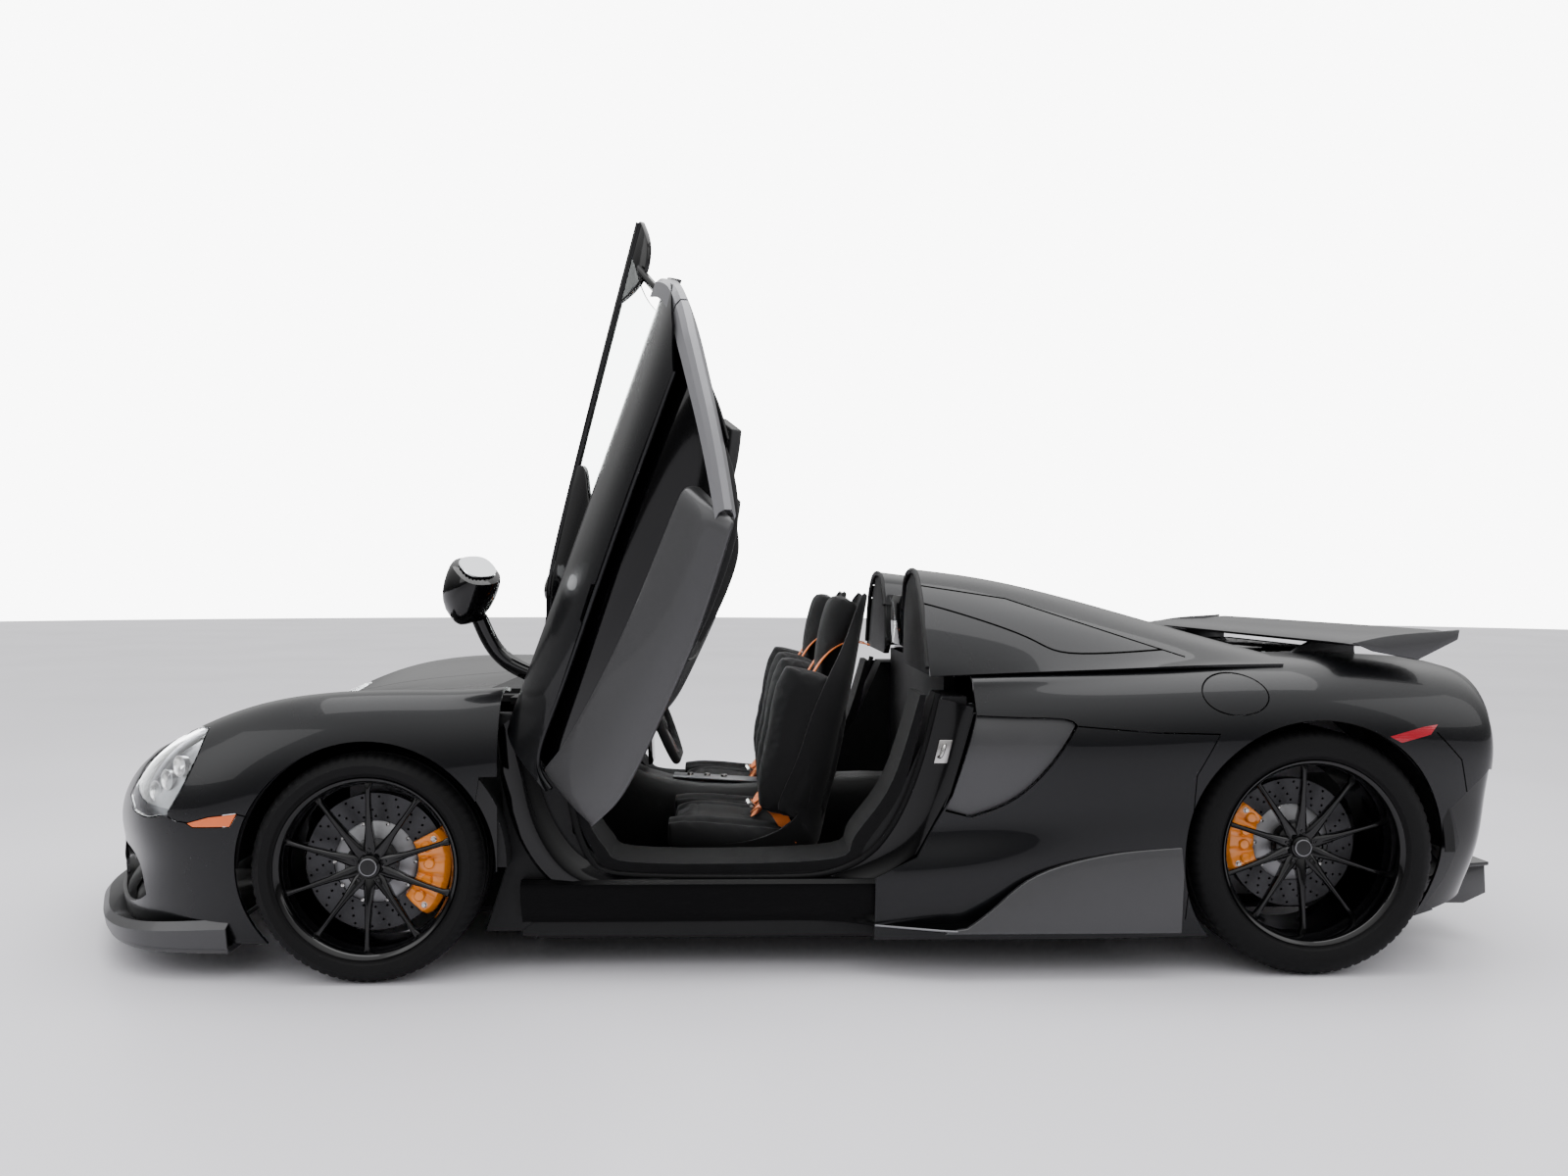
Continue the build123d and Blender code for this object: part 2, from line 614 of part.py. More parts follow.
with BuildPart() as engine_cover:
    with BuildSketch(Plane.XZ.offset(-DECK_HALF)):
        with BuildLine():
            Polyline((DECK_REAR, 870), (DECK_REAR, 890), (1800, 905), (TAIL - 66, 895), (TAIL - 66, 840),
                     (TAIL - 80, 840), (TAIL - 80, 880), close=True)
        make_face()
    extrude(amount=2 * DECK_HALF)
    with Locations((1700, 130, 880), (1700, -130, 880)):
        Cylinder(58, 100, mode=Mode.SUBTRACT)
    with Locations((1400, 0, 880)):
        with GridLocations(70, 0, 5, 1):
            Box(40, 620, 100, mode=Mode.SUBTRACT)
    add(rear_bumper.part, mode=Mode.SUBTRACT)
save(engine_cover.part, "engine_cover")

with BuildPart() as exhaust:
    with Locations((1700, 130, 820)):
        Cylinder(52, 180)
        Cylinder(47, 180, mode=Mode.SUBTRACT)
    with Locations((1700, 130, 701)):
        Box(240, 200, 62)
save(pair(exhaust.part), "exhausts")

with BuildPart() as engine:
    with Locations((870, 0, 360)):
        Box(620, 560, 510)
    with Locations((870, 0, 640)):
        Box(520, 300, 60)
    with Locations((1450, 0, 330)):
        Box(540, 340, 320)
    with Locations((1700, 0, 580)):
        Box(300, 700, 180)
save(engine.part, "engine")

TONNEAU_TOP = 1141
with BuildPart() as tonneau:
    with BuildSketch(Plane.XZ.offset(-610)):
        with BuildLine():
            Polyline((DECK_FRONT, 864), (DECK_FRONT, TONNEAU_TOP), (620, 1108), (950, 1033),
                     (DECK_REAR, 975), (DECK_REAR + 60, 893), (DECK_REAR - 4, 893), (DECK_REAR - 4, 864),
                     close=True)
        make_face()
    extrude(amount=1220, taper=0)
    add(side_prism([(300, 864), (300, 1200), (1300, 1200), (1300, 864)], 610, 700), mode=Mode.SUBTRACT)
    with BuildSketch(Plane.XZ.offset(-190)):
        with BuildLine():
            Polyline((DECK_FRONT - 10, 960), (DECK_FRONT - 10, 1200), (DECK_REAR + 100, 1200),
                     (DECK_REAR + 100, 940), close=True)
        make_face()
    extrude(amount=380, mode=Mode.SUBTRACT)
    add(rear_quarters.part, mode=Mode.SUBTRACT)
    add(engine_cover.part, mode=Mode.SUBTRACT)
save(tonneau.part, "tonneau")

with BuildPart() as rear_wing:
    with BuildSketch(Plane.XZ.offset(-860)):
        with BuildLine():
            lower = Spline((1580, 945), (1750, 930), (1905, 975))
            upper = Spline((1580, 945), (1720, 962), (1905, 979))
            Line(lower @ 1, upper @ 1)
        make_face()
    extrude(amount=1720)
    for side in (-1, 1):
        with BuildSketch(Plane.XZ.offset(-side * 830 - 10)):
            with BuildLine():
                Polyline((1600, 948), (1790, 955), (1790, 840), (1640, 835), close=True)
            make_face()
        extrude(amount=20)
    add(rear_blank, mode=Mode.SUBTRACT)
save(rear_wing.part, "rear_wing")


# ---- cabin --------------------------------------------------------------------------------------
FLOOR_TOP = TUB_BOTTOM + TUB_WALL
with BuildPart() as seat:
    with BuildSketch(Plane.XZ.offset(-(SEAT_SPACING + SEAT_WIDTH) / 2)):
        with BuildLine():
            Polyline((-330, FLOOR_TOP), (-350, 330), (-300, 360), (40, 270), (90, 330), (260, 950), (300, 1065),
                     (360, 1065), (330, 900), (220, 400), (180, 200), (150, FLOOR_TOP), close=True)
        make_face()
    extrude(amount=SEAT_WIDTH)
    with BuildSketch(Plane.XZ.offset(-(SEAT_SPACING + SEAT_WIDTH) / 2 + 60)):
        with BuildLine():
            Polyline((-360, 290), (40, 220), (110, 290), (270, 880), (100, 900), (-360, 500), close=True)
        make_face()
    extrude(amount=SEAT_WIDTH - 120, mode=Mode.SUBTRACT)
save(seat.part, "right_seat")
save(mirrored(seat.part), "left_seat")

STEERING_WHEEL_RADIUS = 178
WHEEL_CENTRE = (-440, -SEAT_SPACING / 2, 680)
wheel_plane = Plane(WHEEL_CENTRE, x_dir=(0, 1, 0), z_dir=(cos(radians(22)), 0, sin(radians(22))))
with BuildPart() as dashboard:
    with BuildSketch(Plane.XZ.offset(-(CABIN_HALF_WIDTH - 2))):
        with BuildLine():
            Polyline((TUB_FRONT + TUB_WALL, 560), (TUB_FRONT + TUB_WALL, 756), (-700, 775), (-560, 760),
                     (-500, 700), (-520, 600), (-620, 540), close=True)
        make_face()
    extrude(amount=2 * (CABIN_HALF_WIDTH - 2))
    add(cowl.part, mode=Mode.SUBTRACT)
    add(windscreen.part, mode=Mode.SUBTRACT)
    with BuildSketch(wheel_plane.offset(-46.3)):
        Circle(44)
    extrude(amount=-90)
save(dashboard.part, "dashboard")

with BuildPart() as centre_console:
    with BuildSketch(Plane.XZ.offset(-75)):
        with BuildLine():
            Polyline((TUB_FRONT + TUB_WALL, FLOOR_TOP), (TUB_FRONT + TUB_WALL, 540), (-620, 538), (-520, 430),
                     (-100, 400), (60, 430), (TUB_REAR - TUB_WALL, 440), (TUB_REAR - TUB_WALL, FLOOR_TOP), close=True)
        make_face()
    extrude(amount=150)
save(centre_console.part, "centre_console")

with BuildPart() as steering_wheel:
    with BuildSketch(wheel_plane):
        Circle(STEERING_WHEEL_RADIUS)
        Circle(STEERING_WHEEL_RADIUS - 28, mode=Mode.SUBTRACT)
        Rectangle(2 * STEERING_WHEEL_RADIUS - 20, 46)
        with Locations((0, -75)):
            Rectangle(50, 160)
        Circle(58)
    extrude(amount=14, both=True)
    with BuildSketch(wheel_plane.offset(-14)):
        Circle(36)
    extrude(amount=-32)
save(steering_wheel.part, "steering_wheel")

# ---- suspension ---------------------------------------------------------------------------------
BALL_JOINT = 26.7
with BuildPart() as arms:
    for axle, height, hub_inner in ((FRONT_AXLE, FRONT_TYRE_RADIUS, STEERING_PIVOT),
                                    (REAR_AXLE, REAR_TYRE_RADIUS, 712)):
        for rise in (-110, 110):
            with BuildSketch(Plane.XY.offset(height + rise - 10)):
                with BuildLine():
                    Polyline((axle - 20, hub_inner), (axle + 20, hub_inner), (axle + 180, 420), (axle + 140, 400),
                             (axle, 620), (axle - 140, 400), (axle - 180, 420), close=True)
                make_face()
                if hub_inner == STEERING_PIVOT:
                    with Locations((axle, hub_inner)):
                        Circle(BALL_JOINT)
            extrude(amount=20)
        with BuildSketch(Plane.XY.offset(FLOOR_HEIGHT)):
            with Locations((axle, 375)):
                Rectangle(420, 110)
        extrude(amount=height + 180 - FLOOR_HEIGHT)
    add(engine.part, mode=Mode.SUBTRACT)
save(pair(arms.part), "suspension_arms")

BOOT_WALL = 4
with BuildPart() as front_boot:
    with Locations((-1480, 0, 510)):
        Box(700, 640, 500)
    with Locations((-1480, 0, 510 + BOOT_WALL)):
        Box(700 - 2 * BOOT_WALL, 640 - 2 * BOOT_WALL, 500, mode=Mode.SUBTRACT)
    add(body_blank(FRONT_STATIONS, SKIN + 0.3, SKIN), mode=Mode.INTERSECT)
save(front_boot.part, "front_boot")
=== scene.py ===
"""Looks of an open-top supercar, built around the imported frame.

Metres: +X to the tail, +Y to the car's right, +Z up. Paired pieces are made on the right (+Y)
and mirrored to the left."""
from math import cos, degrees, pi, radians, sin, sqrt

import bmesh
import bpy
import numpy as np
from mathutils import Matrix, Vector


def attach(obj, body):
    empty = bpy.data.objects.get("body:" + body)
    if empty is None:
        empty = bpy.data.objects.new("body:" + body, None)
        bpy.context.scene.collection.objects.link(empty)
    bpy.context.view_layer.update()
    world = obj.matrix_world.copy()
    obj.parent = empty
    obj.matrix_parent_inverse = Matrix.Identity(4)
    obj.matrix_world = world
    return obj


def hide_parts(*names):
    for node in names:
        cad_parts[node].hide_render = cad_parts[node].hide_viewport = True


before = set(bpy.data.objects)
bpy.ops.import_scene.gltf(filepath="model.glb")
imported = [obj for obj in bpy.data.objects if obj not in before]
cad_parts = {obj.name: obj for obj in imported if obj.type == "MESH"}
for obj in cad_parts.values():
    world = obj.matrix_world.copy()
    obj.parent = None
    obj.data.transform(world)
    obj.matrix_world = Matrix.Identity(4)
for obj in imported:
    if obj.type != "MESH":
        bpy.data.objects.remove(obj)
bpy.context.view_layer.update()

# ==== camera, floor and light ===================================================================
# A plain pale floor under one broad overhead panel and two soft side panels, with a bright white
# backdrop all round. The camera stands beside the seats at chest height.
def link(name, mesh):
    """An object for a mesh, at the origin."""
    obj = bpy.data.objects.new(name, mesh)
    bpy.context.scene.collection.objects.link(obj)
    return obj


def make(name, verts, faces, angle=32):
    """An object from points and faces, smooth except over edges sharper than angle."""
    mesh = bpy.data.meshes.new(name)
    mesh.from_pydata([tuple(float(c) for c in v) for v in verts], [], [list(f) for f in faces])
    mesh.validate()
    obj = link(name, mesh)
    tidy(obj, angle)
    return obj


def tidy(obj, angle=32):
    """Consistent outward normals, and smooth shading up to an angle."""
    bm = bmesh.new()
    bm.from_mesh(obj.data)
    bmesh.ops.recalc_face_normals(bm, faces=bm.faces)
    bm.to_mesh(obj.data)
    bm.free()
    smooth(obj, angle)


def smooth(obj, angle=32):
    """Smooth shading, except over edges sharper than angle."""
    obj.data.shade_smooth()
    obj.data.set_sharp_from_angle(angle=radians(angle))


def paint(obj, material):
    """One finish over the whole piece."""
    obj.data.materials.clear()
    obj.data.materials.append(material)
    return obj


class Wire:
    """A shader socket: + and * on it add Math nodes, and node() adds any other kind."""

    def __init__(self, tree, socket=None):
        self.tree, self.socket = tree, socket

    def node(self, kind, settings=(), sockets=(), out=0):
        """Makes a node, sets it up, fills its sockets and gives its output."""
        made = self.tree.nodes.new("ShaderNode" + kind)
        for key, value in dict(settings).items():
            setattr(made, key, value)
        self.fill(made, dict(sockets))
        return Wire(self.tree, made.outputs[out])

    def fill(self, made, sockets):
        """Links or sets sockets by name or number."""
        for key, value in sockets.items():
            if isinstance(value, Wire):
                self.tree.links.new(value.socket, made.inputs[key])
            else:
                made.inputs[key].default_value = value

    def __add__(self, other):
        return self.node("Math", {"operation": "ADD"}, {0: self, 1: other})

    def __mul__(self, other):
        return self.node("Math", {"operation": "MULTIPLY"}, {0: self, 1: other})

    __radd__, __rmul__ = __add__, __mul__


def shade(colour, factor):
    """A colour made lighter or darker, up to white, with its alpha."""
    return (*[min(1, c * factor) for c in colour], 1)


# Every finish: two close tones in clouds or in its grain, roughness that follows the clouds, and
# a fine relief. patch and scale are per metre; grain names the fine pattern.
def material(name, colour, rough, metal=0.0, coat=0.0, vary=0.12, patch=3.0, grain="noise",
             scale=900.0, bump=0.03, sheen=0.0, second=None, clear=0.0, glow=0.0,
             stretch=(1, 1, 1), shine=0.5):
    mat = bpy.data.materials.new(name)
    mat.use_nodes = True
    wire = Wire(mat.node_tree)
    shader = mat.node_tree.nodes["Principled BSDF"]
    place = wire.node("TexCoord", out="Object")
    place = wire.node("Mapping", sockets={"Vector": place, "Scale": stretch})

    def wave(direction):
        return wire.node("TexWave", {"bands_direction": direction},
                         {"Vector": place, "Scale": scale}, out="Fac")

    cloud = wire.node("TexNoise", sockets={"Vector": place, "Scale": patch, "Detail": 5.0},
                      out="Fac")
    if grain == "noise":
        fine = wire.node("TexNoise", sockets={"Vector": place, "Scale": scale, "Detail": 3.0},
                         out="Fac")
    elif grain == "weave":
        fine = wave("X") * wave("Z") + wave("Y")
    else:
        cells = {"Vector": place, "Scale": scale}
        if grain == "grille":
            cells["Randomness"] = 0.0
        fine = wire.node("TexVoronoi", sockets=cells,
                         out="Color" if grain == "flake" else "Distance")
    tone = wire.node("Mix", {"data_type": "RGBA"},
                     {"A": (*second, 1) if second else shade(colour, 1 - vary),
                      "B": shade(colour, 1 + vary), "Factor": fine if second else cloud},
                     out="Result")
    uneven = wire.node("MapRange", sockets={"Value": cloud, "To Min": rough * 0.8,
                                            "To Max": min(1, rough * 1.25)})
    wire.fill(shader, {"Base Color": tone, "Roughness": uneven, "Metallic": metal,
                       "Specular IOR Level": shine, "Coat Weight": coat, "Coat Roughness": 0.03,
                       "Sheen Weight": sheen, "Sheen Roughness": 0.4,
                       "Transmission Weight": clear})
    if clear:
        wire.fill(shader, {"IOR": 1.2})
    if glow:
        wire.fill(shader, {"Emission Color": (*colour, 1), "Emission Strength": glow})
    if bump:
        wire.fill(shader, {"Normal": wire.node("Bump", sockets={
            "Strength": bump, "Distance": 0.001, "Height": fine})})
    return mat


CAMERA_AT = (-0.1875, -4.2253, 1.1151)
FLOOR_RADIUS = 34
BACKDROP = 9.0
yaw, pitch, roll = radians(2.163), radians(0.2325), radians(0.2986)
ahead = Vector((sin(yaw) * cos(pitch), cos(yaw) * cos(pitch), -sin(pitch)))
level = Vector((cos(yaw), -sin(yaw), 0))
upward = level.cross(ahead)
side_axis = level * cos(roll) + upward * sin(roll)
up_axis = upward * cos(roll) - level * sin(roll)
camera = bpy.data.objects.new("camera", bpy.data.cameras.new("camera"))
camera.data.lens, camera.data.sensor_width = 27, 36
camera.matrix_world = (Matrix.Translation(CAMERA_AT)
                       @ Matrix((side_axis, up_axis, -ahead)).transposed().to_4x4())
bpy.context.scene.collection.objects.link(camera)
bpy.context.scene.camera = camera

FLOOR = material("pale_floor", (0.66, 0.65, 0.69), rough=0.34, vary=0.03, patch=0.6, scale=60,
                 bump=0.01)
turns = [2 * pi * i / 96 for i in range(96)]
floor = make("studio_floor",
             [(0, 0, 0)] + [(FLOOR_RADIUS * cos(a), FLOOR_RADIUS * sin(a), 0) for a in turns],
             [(0, 1 + i, 1 + (i + 1) % 96) for i in range(96)])
paint(floor, FLOOR)

world = bpy.data.worlds.new("studio")
bpy.context.scene.world = world
world.use_nodes = True
light = Wire(world.node_tree)
# The sky is brighter overhead; the camera and whatever is seen through glass get a white backdrop.
axes = light.node("SeparateXYZ", sockets={"Vector": light.node("TexCoord", out="Generated")},
                  out="Z")
height = light.node("MapRange", sockets={"Value": axes, "From Min": 0.0, "From Max": 0.80,
                                         "To Min": 0.10, "To Max": 2.3})
seen = light.node("Math", {"operation": "MAXIMUM"},
                  {0: light.node("LightPath", out="Is Camera Ray"),
                   1: light.node("LightPath", out="Is Transmission Ray")})
light.fill(world.node_tree.nodes["Background"], {
    "Strength": 1.0, "Color": light.node("Mix",
                                         sockets={"A": height, "B": BACKDROP, "Factor": seen},
                                         out="Result")})
for name, spot, size, power in (("overhead", (0, -0.6, 4.6), (7, 3.2), 260),
                                ("front_soft", (-5.5, -3.5, 3.2), (3, 3), 60),
                                ("rear_soft", (5.5, -3.0, 3.0), (3, 3), 50)):
    lamp = bpy.data.objects.new(name, bpy.data.lights.new(name, "AREA"))
    lamp.data.shape, lamp.data.size, lamp.data.size_y = "RECTANGLE", *size
    lamp.data.energy = power
    lamp.location = spot
    lamp.rotation_mode = "QUATERNION"
    lamp.rotation_quaternion = (Vector((0, 0, 0.5)) - Vector(spot)).to_track_quat("-Z", "Y")
    bpy.context.scene.collection.objects.link(lamp)

# ==== front skin, bonnet and markers ============================================================
# Bumper and fenders are one painted composite skin, ten millimetres thick, with shut lines. The
# bonnet, lamps, amber markers and arch bands are cut from the same surface, so that they lie
# flush. The right half is made and welded to its mirror image.
FRONT_AXLE, REAR_AXLE = -1.215, 1.455
FRONT_R, REAR_R = 0.320, 0.353
FRONT_ARCH, REAR_ARCH = FRONT_R + .034, REAR_R + .030
WELD = 2e-4  # points closer than this to the middle or to each other become one


def apply(obj, kind, **settings):
    """Adds a modifier and applies it."""
    mod = obj.modifiers.new(kind, kind)
    for key, value in settings.items():
        setattr(mod, key, value)
    with bpy.context.temp_override(object=obj, active_object=obj, selected_objects=[obj]):
        bpy.ops.object.modifier_apply(modifier=mod.name)
    return obj


def cut(obj, tool, how="DIFFERENCE", keep=False):
    """Boolean with a tool, which is then removed."""
    apply(obj, "BOOLEAN", operation=how, object=tool, solver="EXACT")
    if not keep:
        bpy.data.objects.remove(tool)
    return obj


def copy(obj, name):
    """A second piece with a mesh of its own."""
    twin = obj.copy()
    twin.data = obj.data.copy()
    twin.name = name
    bpy.context.scene.collection.objects.link(twin)
    return twin


def mirror(obj, name):
    """The left twin of a right piece."""
    twin = copy(obj, name)
    twin.data.transform(Matrix.Scale(-1, 4, (0, 1, 0)))
    twin.data.flip_normals()
    return twin


def join(name, *objs):
    """One object from several, keeping each one's materials."""
    with bpy.context.temp_override(active_object=objs[0], object=objs[0],
                                   selected_objects=list(objs),
                                   selected_editable_objects=list(objs)):
        bpy.ops.object.join()
    objs[0].name = name
    return objs[0]


def whole(obj, name):
    """A right half and its mirror image, welded into one piece across the middle."""
    bm = bmesh.new()
    bm.from_mesh(obj.data)
    wall = [f for f in bm.faces if all(abs(v.co.y) < WELD for v in f.verts)]
    bmesh.ops.delete(bm, geom=wall, context="FACES")
    for v in bm.verts:
        if abs(v.co.y) < WELD:
            v.co.y = 0
    bm.to_mesh(obj.data)
    bm.free()
    both = join(name, obj, mirror(obj, "twin"))
    bm = bmesh.new()
    bm.from_mesh(both.data)
    bmesh.ops.remove_doubles(bm, verts=bm.verts, dist=WELD)
    bm.to_mesh(both.data)
    bm.free()
    smooth(both)
    return both


def prism(name, outline, low, high, axis="y"):
    """A prism from an outline in (x, z), (x, y) or (y, z), between two limits along axis."""
    place = {"y": lambda p, d: (p[0], d, p[1]), "z": lambda p, d: (p[0], p[1], d),
             "x": lambda p, d: (d, p[0], p[1])}[axis]
    n = len(outline)
    verts = [place(p, low) for p in outline] + [place(p, high) for p in outline]
    faces = [range(n), range(2 * n - 1, n - 1, -1)]
    faces += [(i, (i + 1) % n, (i + 1) % n + n, i + n) for i in range(n)]
    return make(name, verts, faces)


def drum(name, x, z, radius, low, high):
    """A plain cylinder about an axle line."""
    return prism(name, [(x + radius * cos(2 * pi * i / 96), z + radius * sin(2 * pi * i / 96))
                        for i in range(96)], low, high)


def ring(name, x, z, inner, outer, low, high, start=0, end=360, n=96):
    """A sector of a flat ring round an axle line."""
    turns = [radians(start + (end - start) * i / n) for i in range(n + 1)]
    arc = [(x + outer * cos(a), z + outer * sin(a)) for a in turns]
    arc += [(x + inner * cos(a), z + inner * sin(a)) for a in reversed(turns)]
    return prism(name, arc, low, high)


def natural(points, per):
    """A natural cubic spline through rows of points, per samples to each span."""
    p = np.asarray(points, float)
    n = len(p)
    a = np.zeros((n, n))
    r = np.zeros_like(p)
    a[0, 0] = a[-1, -1] = 1
    for i in range(1, n - 1):
        a[i, i - 1:i + 2] = 1, 4, 1
        r[i] = 6 * (p[i + 1] - 2 * p[i] + p[i - 1])
    m = np.linalg.solve(a, r.reshape(n, -1)).reshape(p.shape)
    out = []
    for i in range(n - 1):
        for k in range(per):
            t = k / per
            u = 1 - t
            out.append(u * p[i] + t * p[i + 1] + ((u ** 3 - u) * m[i]
                                                  + (t ** 3 - t) * m[i + 1]) / 6)
    out.append(p[-1])
    return np.array(out)


def at(x, *points):
    """A station of the body: (y, z) points at one x."""
    return [(x, y, z) for y, z in points]


def net(stations, along, across):
    """A fine grid of points through a coarse net."""
    grid = natural(stations, along)
    return natural(grid.transpose(1, 0, 2), across).transpose(1, 0, 2)


def shell(name, grid, wall):
    """A closed skin of some thickness under a grid of points; a wall below 0 goes outwards."""
    du = np.gradient(grid, axis=0)
    dv = np.gradient(grid, axis=1)
    normal = np.cross(du, dv)
    normal /= np.maximum(np.linalg.norm(normal, axis=2, keepdims=True), 1e-9)
    inner = grid - normal * wall
    inner[..., 1] = np.maximum(inner[..., 1], 0)
    a, b = grid.shape[:2]
    verts = np.vstack([grid.reshape(-1, 3), inner.reshape(-1, 3)])

    def point(i, j, under=0):
        return under * a * b + i * b + j

    faces = []
    for i in range(a - 1):
        for j in range(b - 1):
            faces.append((point(i, j), point(i + 1, j), point(i + 1, j + 1), point(i, j + 1)))
            faces.append((point(i, j, 1), point(i, j + 1, 1), point(i + 1, j + 1, 1),
                          point(i + 1, j, 1)))
    for i in range(a - 1):
        faces.append((point(i, 0), point(i, 0, 1), point(i + 1, 0, 1), point(i + 1, 0)))
        faces.append((point(i, b - 1), point(i + 1, b - 1), point(i + 1, b - 1, 1),
                      point(i, b - 1, 1)))
    for j in range(b - 1):
        faces.append((point(0, j), point(0, j + 1), point(0, j + 1, 1), point(0, j, 1)))
        faces.append((point(a - 1, j), point(a - 1, j, 1), point(a - 1, j + 1, 1),
                      point(a - 1, j + 1)))
    return make(name, verts, faces)


def fit(obj, body, material, slot, *nodes):
    """Material, body and the CAD nodes a piece stands for; the finish slot is not used."""
    if material:
        paint(obj, material)
    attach(obj, body)
    if nodes:
        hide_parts(*nodes)
    return obj


def fit_pair(obj, twin, material, slot, *nodes):
    """A right piece on the body, which stands for the nodes, and its left twin."""
    fit(mirror(obj, twin), "car_body", material, slot)
    fit(obj, "car_body", material, slot, *nodes)


PAINT = material("metallic_grey", (0.0045, 0.0047, 0.0056), rough=0.28, metal=0.5, coat=0.28,
                 vary=0.06, patch=2, grain="flake", scale=2600, bump=0.05, shine=0.2)
GLOSS = material("gloss_black", (0.0012, 0.0012, 0.0015), rough=0.08, coat=0.2, vary=0.1, patch=2,
                 scale=300, bump=0.01, shine=0.2)
AMBER = material("amber_lens", (0.62, 0.10, 0.006), rough=0.14, coat=0.4, vary=0.1, patch=9,
                 grain="grille", scale=160, bump=0.3, glow=0.08)
LENS = material("clear_lens", (0.9, 0.92, 0.94), rough=0.03, vary=0.02, scale=20, bump=0.0,
                clear=1.0)
FRONT = [
    [(-2.262, 0, .150), (-2.280, 0, .215), (-2.292, 0, .300), (-2.294, 0, .370), (-2.282, 0, .430),
     (-2.255, 0, .480), (-2.225, 0, .510), (-2.205, 0, .522), (-2.190, 0, .532)],
    [(-2.150, .35, .148), (-2.150, .36, .215), (-2.138, .375, .300), (-2.136, .385, .372),
     (-2.128, .385, .440), (-2.105, .372, .500), (-2.080, .315, .540), (-2.075, .17, .556),
     (-2.075, 0, .566)],
    [(-2.030, .59, .138), (-2.022, .62, .215), (-2.000, .64, .300), (-2.005, .655, .385),
     (-1.998, .66, .465), (-1.965, .645, .548), (-1.930, .560, .596), (-1.925, .29, .604),
     (-1.925, 0, .608)],
    [(-1.890, .77, .118), (-1.878, .808, .210), (-1.858, .83, .310), (-1.860, .845, .400),
     (-1.850, .848, .500), (-1.815, .805, .628), (-1.780, .650, .656), (-1.770, .33, .648),
     (-1.765, 0, .650)],
    [(-1.680, .87, .108), (-1.680, .905, .220), (-1.678, .925, .335), (-1.672, .935, .450),
     (-1.660, .912, .588), (-1.640, .832, .712), (-1.615, .690, .718), (-1.600, .35, .682),
     (-1.595, 0, .682)],
    [(-1.450, .895, .105), (-1.450, .932, .240), (-1.450, .948, .370), (-1.450, .955, .505),
     (-1.450, .930, .655), (-1.445, .845, .768), (-1.440, .705, .752), (-1.435, .36, .708),
     (-1.430, 0, .704)],
    at(-1.215, (.895, .105), (.938, .260), (.952, .400), (.960, .540), (.935, .695), (.852, .790),
       (.715, .772), (.38, .730), (0, .724)),
    at(-1.010, (.895, .105), (.935, .262), (.945, .405), (.950, .550), (.928, .700), (.850, .790),
       (.730, .780), (.42, .752), (0, .745)),
    at(-.858, (.890, .105), (.925, .265), (.930, .405), (.935, .555), (.918, .700), (.850, .795),
       (.745, .795), (.45, .785), (0, .780)),
]
SKIN = 0.010
front_grid = net(FRONT, 14, 9)


def groove(points, low, high, width=0.004):
    """A thin prism along a polyline, for a shut line."""
    p = [Vector(q) for q in points]
    left, right = [], []
    for i, q in enumerate(p):
        d = (p[min(i + 1, len(p) - 1)] - p[max(i - 1, 0)]).normalized()
        n = Vector((-d.y, d.x)) * width / 2
        left.append(q + n)
        right.append(q - n)
    return prism("groove", left + right[::-1], low, high)


def grown(outline, by):
    """An outline moved outwards by a distance, or inwards if by is below 0."""
    p = [Vector(q) for q in outline]
    area = sum(a.x * b.y - b.x * a.y for a, b in zip(p, p[1:] + p[:1]))
    out = []
    for i, q in enumerate(p):
        a, b = (q - p[i - 1]).normalized(), (p[(i + 1) % len(p)] - q).normalized()
        n = Vector((a.y + b.y, -a.x - b.x)) * (1 if area > 0 else -1)
        n.normalize()
        out.append(q + n * by / max(0.4, sqrt((1 + a.dot(b)) / 2)))
    return out


def curve(points, per=6):
    """A smooth open outline through points."""
    return [tuple(p) for p in natural(points, per)]


LID = [(-1.930, 0)] + curve([(-1.930, 0.0001), (-1.915, .26), (-1.850, .40), (-1.60, .455),
                             (-1.30, .475), (-1.016, .500)])[1:] + [(-1.016, 0)]
LAMP = curve([(-1.945, .495), (-1.885, .585), (-1.815, .650), (-1.745, .690), (-1.684, .698)]) + \
    curve([(-1.684, .698), (-1.695, .620), (-1.728, .535), (-1.768, .468)])[1:] + \
    curve([(-1.768, .468), (-1.840, .452), (-1.910, .462)])[1:]
AMBER_OUT = [(-1.705, .447), (-1.640, .466), (-1.558, .477), (-1.578, .440), (-1.685, .436)]
nose = shell("front_body", front_grid, SKIN)
lid = cut(copy(nose, "front_bonnet"), prism("t", grown(LID, -0.002), 0.5, 1, "z"), "INTERSECT")
lamps = cut(copy(nose, "lamp_lens"), prism("t", grown(LAMP, -0.002), 0.36, 1), "INTERSECT")
amber = cut(copy(nose, "amber_marker"), prism("t", grown(AMBER_OUT, -0.0015), 0.6, 1), "INTERSECT")
flange = cut(shell("arch_band_front", front_grid, -0.003),
             ring("t", FRONT_AXLE, FRONT_R, FRONT_ARCH, FRONT_R + .075, 0.7, 1, -2, 150),
             "INTERSECT")
